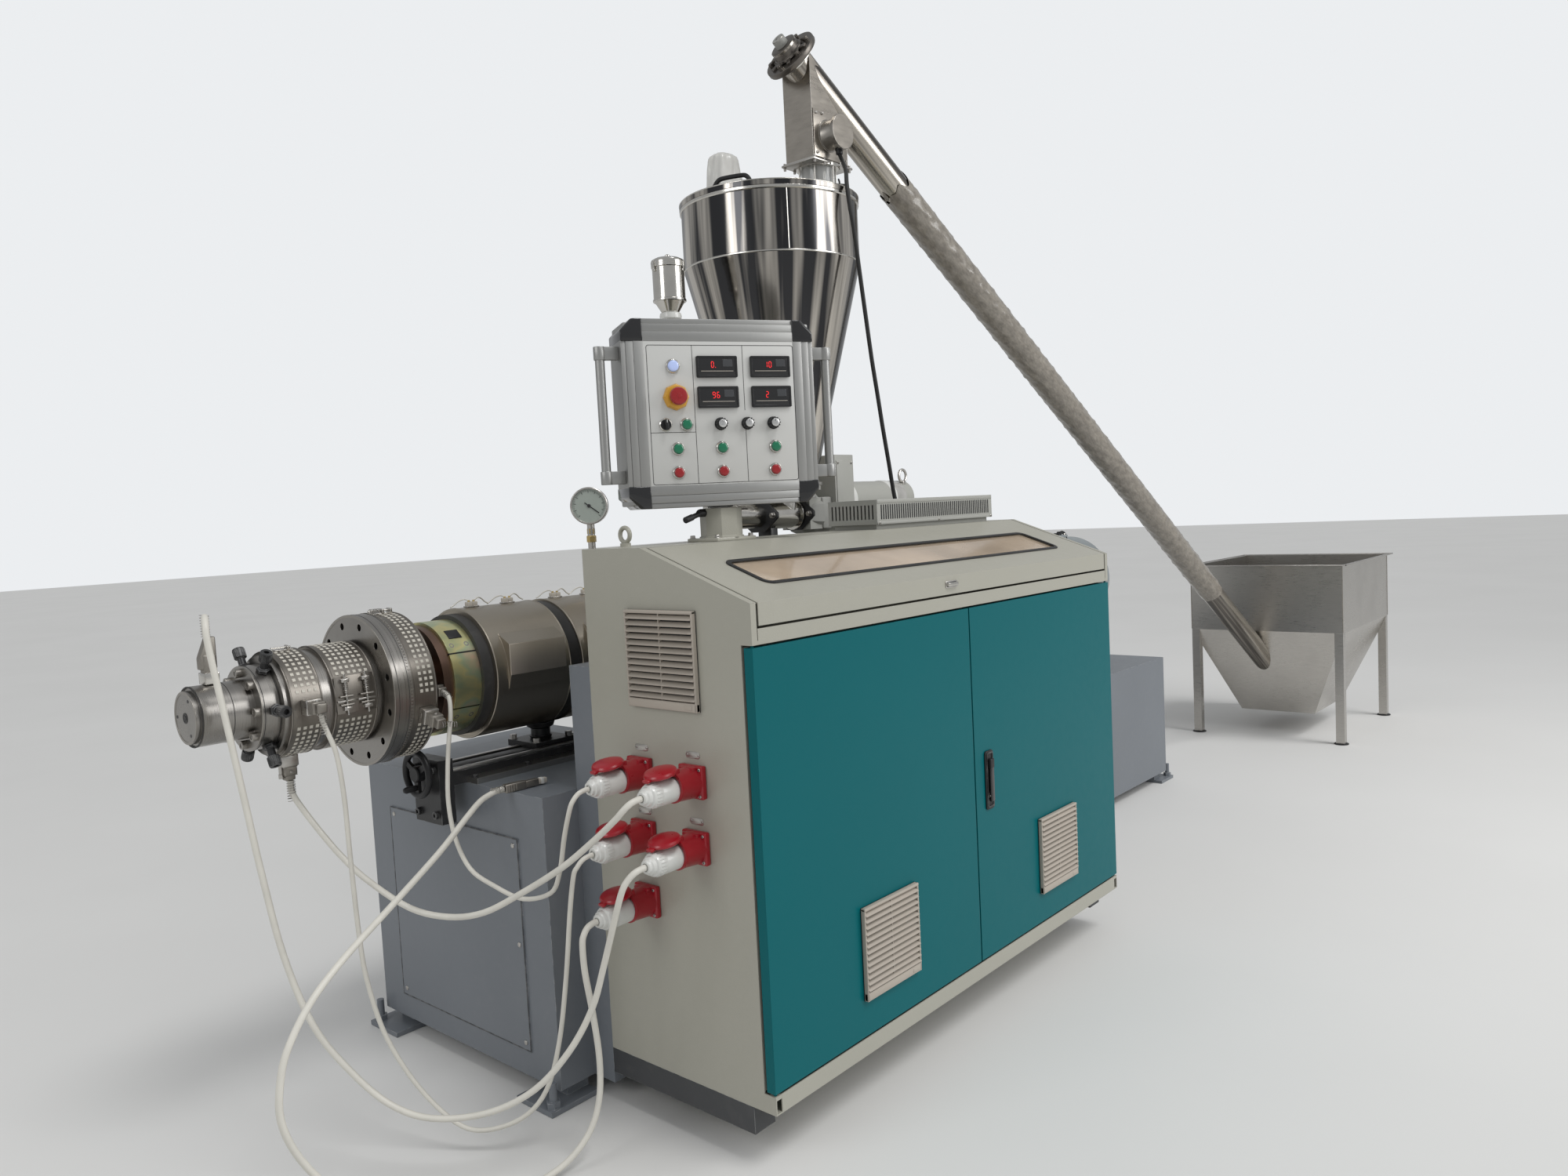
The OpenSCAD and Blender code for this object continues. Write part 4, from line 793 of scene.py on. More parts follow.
strokes = {"a": (0, 2, 1), "b": (1, 1, 0), "c": (1, 0, 0), "d": (0, 0, 1), "e": (0, 0, 0), "f": (0, 1, 0),
           "g": (0, 1, 1)}     # column, row, and 1 where the stroke lies flat
digits = {"0": "abcdef", "1": "bc", "2": "abged", "6": "acdefg", "9": "abcdfg"}


def digit(sign, x, z):
    parts = []
    for key in digits[sign]:
        column, row, flat = strokes[key]
        if flat:
            parts.append(block((x + 0.9, -6.3, z + row * 6.4 - 0.7), (x + 5.1, -5.7, z + row * 6.4 + 0.7),
                               "digitRed", 0))
        else:
            parts.append(block((x + column * 5.4 - 0.2, -6.3, z + row * 6.4 + 0.6),
                               (x + column * 5.4 + 1.2, -5.7, z + row * 6.4 + 5.8), "digitRed", 0))
    return parts


dials = []
for x, z, shown in ((169, 289, "0"), (297, 289, "10"), (169, 221, "96"), (297, 221, "2")):
    dials.append(at(loopFrame(96, 48, 4.5, 7, 3, "blackPlastic", 0.9), x + 48, 1, z + 24, 90, "X"))
    dials.append(block((x + 3, -5, z + 3), (x + 93, 0, z + 45), "glossBlack", 0.5))
    dials.append(block((x + 10, -5.6, z + 13.5), (x + 86, -5, z + 14.6), "ceramic", 0))
    dials.append(block((x + 62, -5.5, z + 24), (x + 84, -5, z + 40), "meterSheen", 0))
    for i, sign in enumerate(shown):
        dials += digit(sign, x + 34 + i * 10, z + 22)
    if shown == "0":
        dials.append(block((x + 43, -6.3, z + 21.4), (x + 44.6, -5.7, z + 23), "digitRed", 0))


def front(part, x, z, out=0):
    return at(part, x, -out, z, 90, "X")


def button(x, z, colour, radius=11.0, height=8):
    ring = turned([(0, radius + 3.8), (2.6, radius + 3.8), (4, radius + 2.6), (4, radius + 0.4), (2, radius)],
                  "chrome", 32)
    cap = turned([(0, radius), (height - 1.2, radius), (height, radius - 1.3), (height + 0.5, radius * 0.6),
                  (height + 0.7, radius * 0.2)], colour, 32)
    return [front(ring, x, z), front(cap, x, z)]


def knob(x, z):
    skirt = turned([(0, 14.5), (2, 14.5), (3, 12.6), (15, 11.6), (17, 10.4), (17, 9)], "blackPlastic", 32)
    grip = block((-1.1, 10.8, 3), (1.1, 13.2, 16), "blackPlastic", 0.4, 1)
    parts = [skirt] + copies(grip, [turn(a, "Z") for a in range(0, 360, 30)])
    parts.append(turned([(16, 9.2), (17.6, 9.2), (18, 8.6), (18, 3)], "brushedCap", 32))
    parts.append(block((-0.6, 3, 17.9), (0.6, 8.6, 18.4), "blackPlastic", 0))
    return [front(p, x, z) for p in parts]


for x, z in ((117, 131), (221, 131), (350, 131), (140, 185)):
    dials += button(x, z, "lampGreen")
for x, z in ((116, 78), (221, 78), (347, 78)):
    dials += button(x, z, "signRed")
dials += button(115, 315, "lampWhite", 12, 9)
for x in (220, 284, 347):
    dials += knob(x, 185)
dials.append(front(turned([(0, 14.5), (3, 14.5), (4.4, 13), (4.4, 11)], "chrome", 32), 91, 185))
dials.append(front(turned([(0, 12.4), (6, 12.2), (7, 11)], "blackPlastic", 32), 91, 185))
dials.append(front(moved(block((-3.4, -12.2, 4), (3.4, 12.2, 17), "blackPlastic", 2, 3), turn(8, "Z")), 91,
                   185))
dials.append(front(block((-0.7, 4, 16.8), (0.7, 11.5, 17.3), "plugWhite", 0), 91, 185))
dials.append(front(turned([(0, 30), (8, 29.5), (13, 27), (14, 25), (14, 18)], "signYellow", 8), 118, 246))
dials.append(front(turned([(10, 12), (20, 12), (20, 19), (22, 20), (28, 20), (31, 18), (32, 14), (32, 4)],
                          "signRed", 40), 118, 246))
dials.append(front(turned([(31.8, 5), (32.4, 5), (32.4, 1)], "signRed", 20), 118, 246))
settled(dials, "panelControlsDressed", panelFace, ["panel_controls"], "panel")
bars = []
for side in (-1, 1):
    x = wide / 2 + side * (wide / 2 + 42)
    inner = wide if side > 0 else 0
    bars.append(rod((x, 30, 62), (x, 30, 358), 10.4, "anodised", 32, 1))
    for z in (58, 332):
        bars.append(block((min(x, inner) - (12 if side < 0 else 0), 22, z),
                          (max(x, inner) + (12 if side > 0 else 0), 38, z + 29),
                          "anodised", 1.6))
        bars.append(at(turned([(0, 12.4), (1.2, 13), (27.8, 13), (29, 12.4)], "anodised", 32), x, 30, z))
settled(bars, "panelBars", panelFace, body="panel")
back = [block((40, 118, 40), (wide - 40, 120.5, tall - 40), "anodised", 0.8)]
back += copies(moved(socketScrew(4, 2.4, sides=12), turn(-90, "X")),
               [shift(x, 120.3, z) for x in (52, wide - 52) for z in (52, tall / 2, tall - 52)])
back.append(moved(turned([(0, 30), (8, 30), (10, 28), (10, 24.4)], "anodised", 40),
                  shift(227, 60, -1) @ turn(180, "X") @ shift(0, 0, -8)))
settled(back, "panelBack", panelFace, body="panel")
print("stage: control panel")


# Die head: pads on the heaters, screws, bolts, plugs with springs, band clamps
die = {"bandFront": (-508, -440), "bandRear": (-415, -318), "flangeHeater": (-265, -205), "pad": 7, "pitch": 13}
padSize = die["pad"] / 2


def padRows(span, columns, radius, gaps, inset=0.0):
    middle = (span[0] + span[1]) / 2 + inset
    count = int(2 * math.pi * radius / die["pitch"])
    places = []
    for row in range(count):
        angle = 360 * row / count
        if any(low < angle < high for low, high in gaps):
            continue
        for column in range(columns):
            places.append(onRing(middle + (column - (columns - 1) / 2) * die["pitch"], radius, angle))
    return places


def aboutAxis(x, radius, angles):     # places on a circle about the screw axis, angles in radians
    return [shift(x, axisY - radius * math.sin(a), axisZ + radius * math.cos(a)) for a in angles]


pad = block((-padSize, -padSize, -0.5), (padSize, padSize, 0.9), "padSilver", 0.25, 1)
places = padRows(die["bandFront"], 4, 113, ((76, 108), (168, 192)), 2)
places += padRows(die["bandRear"], 6, 113, ((66, 112), (250, 280)))
places += padRows(die["flangeHeater"], 3, 166, ((90, 116), (352, 360)), 4)
settled(copies(pad, places), "heaterPads")
rims = []
for x0, x1, r in ((-508, -504, 114.4), (-444, -440, 114.4), (-415, -410, 114.4), (-322, -318, 114.4),
                  (-264.5, -260, 167.4), (-209, -205, 167.4)):
    rims.append(sleeve(x0, x1, r - 3, r, "bandSteel", 96, 1.2))
for x, r in ((-300, 170.6), (-276, 170.6), (-505, 90), (-520, 89.6), (-551, 89.6), (-600, 62.6), (-661, 62.5)):
    rims.append(sleeve(x, x + 1.6, r - 3, r, "darkSteel", 96, 0.5))
for x0, x1, r in ((-670.6, -669.4, 54.4), (-556.6, -553, 89.7), (-310.6, -308, 170.8)):
    rims.append(sleeve(x0, x1, r - 6, r, "hazeSteel", 96, 0.5))
settled(group(rims, screwAxis), "dieRims", smooth=40)
tooth = block((-2.4, -1.5, -1.0), (2.4, 1.5, 1.2), "hazeSteel", 0)
settled(copies(tooth, [onRing(-269, 170, a * 2.5) for a in range(144)]), "flangeTeeth")

screws = []
head = moved(socketScrew(9.4, 11.4, "hazeSteel", 20), turn(-90, "Y"))
screws += copies(head, aboutAxis(-556.6, 75, [math.radians(360 * i / 8) for i in range(8)]))
# black discs paint the shade in three dimples on the nose
dimpleShade = moved(turned([(0, 3.4), (0.5, 3.4)], "blackSteel", 16), turn(-90, "Y"))
screws += copies(dimpleShade, aboutAxis(-670, 40, (0.5, 2.6, 4.7)))
centre = turned([(0, 11), (0.8, 11), (0.8, 8.5), (0.2, 8), (0.2, 5), (1.0, 4.5), (1.0, 1)], "darkSteel", 24)
screws.append(at(centre, -670, 934, 950, -90, "Y"))
settled(screws, "noseScrews")

boltParts = [turned([(0, 8), (27, 8), (27, 7)], "blackSteel", 20), socketScrew(12, 22, "blackSteel", 24)]
at(boltParts[1], 0, 0, 26)
knurl = block((-0.7, 11.6, 27), (0.7, 12.6, 45), "blackSteel", 0)
boltParts += copies(knurl, [turn(a, "Z") for a in range(0, 360, 20)])
boltParts.append(at(turned([(0, 14), (7, 14), (8, 12.5), (8, 8)], "blackSteel", 6), 0, 0, 0.5))
centring = copies(welded(boltParts), [onRing(-529, 89.1, a) for a in (30, 90, 150, 210, 270, 330)])
settled(centring, "centringBoltsDressed", replaces=["centring_bolts"])


def heaterPlug(rise, width=28, dress="castPlug"):     # socket box on a heater, with its cast plug on top
    half = width / 2
    parts = [block((-17, -half - 2, 0), (17, half + 2, 24), "stainless", 1.6),
             block((-14.5, -half, 23), (14.5, half, 27), dress, 1),
             block((-14, -half + 1, 26), (14, half - 1, 26 + rise * 0.62), dress, 3, 3),
             block((-10.5, -half + 3.5, 24 + rise * 0.5), (10.5, half - 3.5, 26 + rise), dress, 3, 3)]
    for i in range(4):
        parts.append(block((-14.8, -half + 3, 30 + i * 4.4), (14.8, half - 3, 31.8 + i * 4.4), dress, 0.5, 1))
    screw = socketScrew(3.2, 2.6, sides=12)
    parts += copies(screw, [shift(0, half - 1, 26 + rise * 0.32) @ turn(-90, "X"),
                            shift(0, 1 - half, 26 + rise * 0.32) @ turn(90, "X")])
    parts.append(block((-17.6, -6, 5), (17.6, 6, 10), "hazeSteel", 0.8, 1))
    return parts


plugParts = group(heaterPlug(33), onRing(-471, 113.1, 90))
plugParts += group(heaterPlug(39, 30), onRing(-233, 166.1, 108))
plugParts += group(heaterPlug(29), onRing(-474, 113.1, 180))
neck = [block((-11, -11, 0), (11, 11, 72), "stainless", 2),
        block((-13, -13, 68), (13, 13, 78), "castPlug", 2),
        block((-11, -10, 76), (11, 10, 94), "castPlug", 3, 3)]
plugParts += group(neck, onRing(-182, 56.1, 95))
cap = [block((-15, -15, 0), (15, 15, 24), "chrome", 1.6),
       block((-12.5, -11, 22), (12.5, 11, 60), "castPlug", 3, 3)]
wedge = block((-19, -9, 30), (15, 9, 96), "castPlug", 3, 3)
wedge = cutOff(wedge, (-19, 0, 52), (-0.93, 0, 0.37))
cap += [wedge, moved(socketScrew(3, 20, sides=12), shift(0, -9, 48) @ turn(90, "X") @ shift(0, 0, -18))]
plugParts += group(cap, onRing(-618, 62.1, 0))
settled(plugParts, "heaterPlugs", replaces=["heater_connectors"])

springs = []
for start, way in (((-468, 775, 938), (0.06, -0.05, -1)), ((-182, 784, 937), (0.0, -0.93, -0.37)),
                   ((-471, 934, 780), (0, 0, -1)), ((-618, 934, 1109), (0, 0, 1))):
    length = 26 if start[0] == -182 else 44
    radius = 7.4 if start[0] in (-468, -182) else 8.9
    spring = coil(length, radius, 0.9, 8 if length > 30 else 5, "stainless")
    springs.append(moved(spring, shift(*start) @ Vector(way).to_track_quat("Z", "Y").to_matrix().to_4x4()))
flangeEnd = onRing(-233, 166.1, 108) @ shift(0, 0, 64)
springs.append(moved(coil(34, 6.2, 0.8, 7, "stainless"), flangeEnd @ turn(68, "Y")))
settled(springs, "strainSprings")

clamps = []
for x in (-392, -346):
    clamp = [block((-9, -34, 0), (9, -26, 9), "stainless", 1), block((-9, 26, 0), (9, 34, 9), "stainless", 1),
             rod((0, -44, 6), (0, 44, 6), 2.2, "chrome"), rod((-15, -22, 6), (15, -22, 6), 2.6, "hazeSteel"),
             rod((-15, -4, 6), (15, -4, 6), 2.6, "hazeSteel"),
             block((-20, -16, 1), (20, -12, 5), "stainless", 0.8),
             at(coil(34, 5.6, 0.9, 8, "stainless"), 0, 2, 6, -90, "X")]
    clamps += group(clamp, onRing(x, 114, 84))
clamps.append(moved(block((-44, -40, 0), (44, 40, 0.9), "bandSteel", 0.3), onRing(-369, 113.2, 84)))
latchTop = [block((-26, -8, 0), (26, 8, 3), "stainless", 1), rod((-34, 0, 8), (20, 0, 8), 2.2, "chrome"),
            at(coil(22, 4.6, 0.9, 6, "stainless"), -30, 0, 8, 90, "Y"),
            block((-4, -9, 2), (2, 9, 12), "stainless", 1), block((16, -9, 2), (22, 9, 12), "stainless", 1)]
clamps += group(latchTop, onRing(-236, 166, 2))
latchTwo = [block((-18, -6, 0), (18, 6, 3), "stainless", 1), rod((-24, 0, 7), (18, 0, 7), 2, "chrome"),
            block((8, -8, 2), (14, 8, 10), "stainless", 1)]
clamps += group(latchTwo, onRing(-474, 113.4, 8))
settled(clamps, "bandClamps")

probe = [turned([(0, 6), (14, 6), (15, 4.4), (40, 4.4), (41, 5.4), (50, 5.4)], "stainless", 20)]
probe = group(probe, shift(-490, axisY, 838) @ turn(180, "X"))
settled(probe, "thermoProbe")

ringParts = []
# a black square paints the shade of a square recess in the clamp ring
recessShade = block((-17, -14, -0.4), (17, 14, 0.8), "blackPlastic", 0.3)
ringParts.append(moved(recessShade, onRing(-105, 135, 38)))
ringParts.append(moved(block((-35.5, -1.6, -22), (35.5, 1.6, 0.5), "blackPlastic", 0), onRing(-105, 135, 61)))
for a in (52, 128, 232, 308):
    for x in (-125, -86):
        ringParts.append(moved(socketScrew(7, 4, "hazeSteel", 16), onRing(x, 131, a)))
settled(ringParts, "clampRingParts")
print("stage: die head")


# Barrel covers: rolled rims, the flat of the duct in a lighter copy of the cover's metal (painted light),
# terminals and short wires on top
cover = {"first": -42, "pitch": 253, "length": 217, "count": 5}
hoops, flats, tops = [], [], []
for i in range(cover["count"]):
    x0 = cover["first"] + i * cover["pitch"]
    x1 = x0 + cover["length"]
    hoops += [sleeve(x0 - 0.6, x0 + 4, 153, 159.2, "coverTaupe", 96, 1.5),
              sleeve(x1 - 4, x1 + 0.6, 153, 159.2, "coverTaupe", 96, 1.5)]
    # the flat gets a lighter copy of the cover's metal: painted light on the face
    flats.append(block((x0 + 32.4, 767.3, 950.6), (x1 - 22.4, 768.6, 1024.4), "coverFlatLit", 0.4))
    for side in (x0 + 32, x1 - 24):
        flats.append(block((side, 768.2, 952), (side + 2, 771, 1024), "coverTaupe", 0.3))
    for spot in (x0 + 46, x0 + 150):
        terminal = [block((-17, -9, 0), (17, 9, 3), "stainless", 0.8),
                    block((-14, -7, 2), (14, 7, 13), "ceramic", 1.6),
                    block((-1, -7.6, 4), (1, 7.6, 14), "ceramic", 0.4)]
        terminal += copies(hexBolt(3, 5, "brass"), [shift(-7, 0, 12), shift(7, 0, 12)])
        terminal.append(wireAlong([(-7, 0, 15), (-16, 4, 20), (-30, 8, 16), (-42, 10, 8), (-52, 10, 3)], 1.7,
                                  "cableWhite", 8, 3))
        terminal.append(wireAlong([(7, 0, 15), (18, -2, 22), (32, 4, 18), (44, 8, 9), (54, 8, 4)], 1.7,
                                  "cableWhite", 8, 3))
        terminal.append(wireAlong([(0, 0, 6), (2, 14, 12), (10, 26, 9), (22, 33, 3)], 1.4, "signRed", 8, 3))
        tops += group(terminal, onRing(spot, 158, 0))
    seam = block((x0 + 6, -1, 0), (x1 - 6, 1, 0.8), "darkSteel", 0)
    tops.append(moved(seam, onRing(0, 158, 160)))
settled(group(hoops, screwAxis), "coverHoops")
settled(flats, "ductFlats")
settled(tops, "coverTerminals")
print("stage: barrel covers")


# Vacuum gauge and vent cup
gaugePlace = machine @ shift(391, axisY, 1344) @ turn(-45, "Z") @ turn(90, "X")     # local Z out of the dial
gauge = [turned([(-16.6, 46), (-15, 50.3), (13, 50.3), (19, 50), (20, 48.6), (20, 45.4), (16.4, 45)],
                "stainless", 64),
         turned([(16.2, 45.4), (16.6, 45.2), (16.6, 3)], "dialFace", 64)]
for width, low, count, spread in ((1.2, 35, 11, 27), (0.6, 38.5, 51, 5.4)):
    tick = block((-width / 2, low, 16.5), (width / 2, 42, 17), "blackPlastic", 0)
    gauge += copies(tick, [turn((i - (count - 1) / 2) * spread, "Z") for i in range(count)])
gauge.append(moved(block((-1.3, -14, 17.2), (1.3, 33, 18), "blackPlastic", 0.3), turn(-128, "Z")))
gauge.append(turned([(16.4, 5), (18.4, 5), (19, 3.4)], "blackSteel", 20))
settled(gauge, "vacuumDial", gaugePlace)
stem = [turned([(1246, 13), (1262, 13), (1264, 11), (1264, 9)], "brass", 6),
        turned([(1268, 11), (1282, 11), (1284, 9)], "brass", 6),
        turned([(1108, 22), (1114, 22), (1116, 16), (1130, 16), (1132, 12)], "stainless", 32),
        turned([(1196, 14), (1212, 14), (1213, 12)], "stainless", 6)]
settled(group(stem, shift(391, axisY, 0)), "gaugeStem")
cup = [at(turned([(1108, 30), (1116, 30), (1118, 24), (1130, 22), (1131, 18)], "stainless", 40), 112, 0, 0),
       at(sleeve(18, 24, 15, 22, "chrome", 40, 1.2), 0, 0, 1480),
       at(sleeve(18, 24, 15, 22, "chrome", 40, 1.2), 0, 0, 1480, 90, "Y"),
       turned([(1868, 19), (1874, 31), (1882, 32), (1890, 30), (1893, 24)], "plugWhite", 40),
       sleeve(1922, 1930, 40, 48.4, "chrome", 64, 1.5), sleeve(2018, 2030, 40, 48.6, "chrome", 64, 2),
       turned([(2028, 48.6), (2034, 49.2), (2040, 47), (2046, 36), (2050, 18), (2051, 6)], "chrome", 64),
       turned([(2050, 7), (2056, 7), (2058, 5)], "chrome", 24)]
cup = group(cup, shift(733, axisY, 0))
for angle in (20, 140, 260):
    toggle = [block((-4, -53, 2012), (4, -48, 2036), "chrome", 1.4),
              block((-6, -52, 2006), (6, -46, 2013), "chrome", 1.4)]
    cup += group(toggle, shift(733, axisY, 0) @ turn(angle, "Z"))
settled(cup, "ventCupParts")
print("stage: gauge and cup")


# Hopper: rolled rim, seam and weld, lid with its handle, filter sock
standing = machine @ shift(hopperX, axisY, 0)
steel = [sleeve(2251, 2264, 276, 284.5, "chrome", 96, 3), sleeve(2275, 2279, 250, 286, "chrome", 96, 1.5),
         sleeve(2069, 2075, 276, 281.8, "chrome", 96, 1.6), sleeve(1380, 1392, 100, 128, "stainless", 64, 1.5)]
steel.append(turned([(2278, 284), (2279.5, 283), (2281, 270), (2281, 120)], "polishedSteel", 96))
weld = wireAlong([(280.4, 0, 2076), (280.4, 0, 2150), (280.4, 0, 2210), (280.4, 0, 2251)], 1.3, "chrome", 8, 1)
steel.append(moved(weld, turn(-128, "Z")))
for a in range(0, 360, 45):
    steel.append(moved(hexBolt(6, 8), turn(a + 20, "Z") @ shift(117, 0, 1392)))
settled(steel, "hopperRims", standing)
grip = welded([wireAlong([(961, 950, 2280), (962, 948, 2296), (966, 934, 2311), (972, 916, 2315),
                          (990, 864, 2315),
                          (996, 848, 2311), (1000, 838, 2296), (1001, 836, 2280)], 7, "blackPlastic", 12, 4),
               at(block((-14, -9, 0), (14, 9, 4), "blackPlastic", 1.5), 961, 950, 2279),
               at(block((-14, -9, 0), (14, 9, 4), "blackPlastic", 1.5), 1001, 836, 2279)])
settled([grip], "hopperLidHandle")

clearSelection()
sockSize = {"x": 1132, "y": 1064, "low": 2278, "high": 2463, "radius": 69}
bpy.ops.mesh.primitive_cylinder_add(vertices=64, radius=1, depth=1, end_fill_type="NOTHING",
                                    location=(0, 0, 0.5))
sock = bpy.context.object
applied()
editing()
bpy.ops.mesh.subdivide(number_cuts=15)
editing(False)
for vertex in sock.data.vertices:     # gathered at the foot, folded over at the top
    x, y, z = vertex.co
    way = math.atan2(y, x)
    fold = (0.05 * math.sin(way * 5 + z * 2) + 0.035 * math.sin(way * 11 - z * 5)
            + 0.02 * math.sin(way * 3 + z * 9))
    spread = 1 - 0.2 * z + fold - 0.1 * math.exp(-((z - 0.06) / 0.05) ** 2)
    top = max(0.0, z - 0.82) / 0.18
    squeeze = 1 - 0.985 * top ** 2.6
    r = sockSize["radius"] * 0.93 * spread / math.hypot(x, y)
    vertex.co = (x * r * squeeze * mm, y * r * squeeze * (1 - 0.25 * z) * mm,
                 (sockSize["low"] + 4 + (sockSize["high"] - sockSize["low"] - 6) * (z ** 0.92)) * mm)
coated(sock, "sockFilm")
band = sleeve(sockSize["low"] + 6, sockSize["low"] + 15, 58, 63, "stainless", 48, 1)
collar = sleeve(sockSize["low"] + 1, sockSize["low"] + 22, 52, 57, "chrome", 48, 1)
settled(group((band, collar), shift(sockSize["x"], sockSize["y"], 0)), "sockBand")
only(sock)
bpy.ops.object.shade_smooth()
at(sock, sockSize["x"], sockSize["y"], 0)
sock = settled([sock], "ventSock", replaces=["vent_sock"], smooth=180)
print("stage: hopper")


# Loader: head seams and plates, cap and stub, end flange, sight spool, wrapped tube
headFront, headLow = 848 - 56, 2403
head = [block((1242, 780, headLow - 6), (1439, 916, headLow + 1), "stainless", 1.5),
        block((1250, 788, headLow + 1), (1431, 908, headLow + 6), "chrome", 1)]
for x in (1252, 1300, 1380, 1429):
    for y in (786, 910):
        head.append(at(hexBolt(4.5, 7), x, y, headLow + 1))
        head.append(at(hexBolt(4.5, 9), x, y, headLow - 6, 180, "X"))
plate = cutOff(block((1257, headFront - 4, headLow + 8), (1424, headFront - 0.2, 2556), "headSteel", 0.8),
               (1380, 790, 2548), (0.58, 0, 0.81))
head.append(plate)
for x, z in ((1268, 2422), (1412, 2422), (1268, 2544), (1300, 2548)):
    head.append(at(hexBolt(4.2, 6), x, headFront - 4, z, 90, "X"))
stub = turned([(0, 50), (5, 50), (6, 46.5), (8, 45.4), (52, 45.4), (53, 53.6), (62.4, 53.6), (63, 52),
               (63, 40)], "hazeSteel", 64)
head.append(at(stub, 1329, headFront - 1, 2484, 90, "X"))
head.append(at(turned([(62.4, 52.4), (63.6, 52), (63.6, 4)], "headSteel", 64), 1329, headFront - 1, 2484, 90,
               "X"))
head.append(at(turned([(0, 13), (8, 13), (9, 11), (20, 11), (21, 8)], "blackPlastic", 20), 1340, 756, 2442, 180,
               "X"))
for x, top in ((1253.6, 2700), (1427.4, 2572)):
    head.append(rod((x, 791.6, headLow + 6), (x, 791.6, top), 1.6, "hazeSteel", 8))
settled(head, "loaderHeadParts")
end = [turned([(-16.6, 60), (-16.6, 89.4), (-14, 90), (-3, 90), (0.4, 88), (0.4, 56)], "bearingSteel", 64),
       turned([(-17, 46), (-20, 52), (-26, 50), (-28, 46), (-50, 43), (-52, 40), (-52, 22)], "bearingSteel",
              48),
       turned([(-50, 21), (-74, 21), (-76.4, 19), (-76.4, 8), (-72, 7)], "castGrey", 32),
       sleeve(6, 16, 50.5, 60, "chrome", 64, 1.5)]
for i in range(6):
    end.append(moved(hexBolt(9, 15, "bearingSteel"), turn(60 * i, "Z") @ shift(66, 0, -16) @ turn(180, "X")))
    end.append(moved(rod((0, 0, -30), (0, 0, -15), 4.5, "bearingSteel"), turn(60 * i, "Z") @ shift(66, 0, 0)))
    end.append(moved(block((-6, -7, -24), (30, 7, -16), "bearingSteel", 2),
                     turn(60 * i + 30, "Z") @ shift(44, 0, 0)))
settled(end, "loaderEndFlange", tubeLine)
spool = [sleeve(2278, 2286, 40, 70, "chrome", 64, 1.2), sleeve(2393, 2403, 40, 70, "chrome", 64, 1.2),
         sleeve(2336, 2344, 54, 61, "chrome", 64, 1.5), sleeve(2286, 2393, 52.5, 55, "clearPlastic", 64, 0.5),
         sleeve(2286, 2393, 34, 36, "chrome", 48, 0.4)]
for a in range(30, 360, 60):
    spool.append(moved(rod((62, 0, 2280), (62, 0, 2400), 2.8, "stainless", 12), turn(a, "Z")))
    spool.append(moved(hexBolt(5, 5), turn(a, "Z") @ shift(62, 0, 2286)))
for a, z in ((-70, 2352), (-38, 2340)):
    arc = [math.radians(a + 24 * i) for i in range(5)]
    tie = wireAlong([(70 * math.cos(t), 70 * math.sin(t), z + 6 * math.sin(3 * t)) for t in arc],
                    3, "blackPlastic", 8, 2)
    spool += [tie, moved(block((0, -4, -3), (34, 4, 3), "blackPlastic", 1),
                         turn(a + 40, "Z") @ shift(68, 0, z))]
settled(spool, "sightSpool", machine @ shift(1340.5, 848, 0), ["loader_spool"])

wrapSize = {"from": 560, "to": 3300, "radius": 54.5, "rings": 230}
clearSelection()
bpy.ops.mesh.primitive_circle_add(vertices=48, radius=wrapSize["radius"] * mm,
                                  location=(0, 0, wrapSize["from"] * mm))
wrap = bpy.context.object
applied()
editing()
step = (wrapSize["to"] - wrapSize["from"]) / wrapSize["rings"] * mm
for i in range(wrapSize["rings"]):
    drawnOut(0, 0, step)
editing(False)
for vertex in wrap.data.vertices:     # spiral laps, creases and a torn upper edge
    x, y, z = vertex.co / mm
    way, run = math.atan2(y, x), z - wrapSize["from"]
    lap = ((run / 118 + way / (2 * math.pi)) % 1.0)
    bulge = (1.8 * max(0.0, 1 - abs(lap - 0.5) * 9) + 0.9 * math.sin(way * 9 + run * 0.06)
             + 0.8 * math.sin(way * 4 - run * 0.11))
    bulge += 0.7 * math.sin(run * 0.31 + 3 * math.sin(way * 2))
    r = 1 + max(-2.0, bulge) / wrapSize["radius"]
    z += (14 * math.sin(way * 3 + 1) + 8 * math.sin(way * 7)) * max(0.0, 1 - run / 40)
    vertex.co = (x * r * mm, y * r * mm, z * mm)
coated(wrap, "stretchFilm")
flag = cutOff(cutOff(block((-0.5, -9, -40), (0.5, 9, 10), "stretchFilm", 0), (0, 9, 0), (0, 0.97, -0.24)),
              (0, -9, 0), (0, -0.97, -0.24))
flag = at(flag, 56, 4, 556, 12, "Y")
settled([wrap, flag], "wrappedTube", tubeLine, ["loader_wrap"], smooth=60)
print("stage: loader")


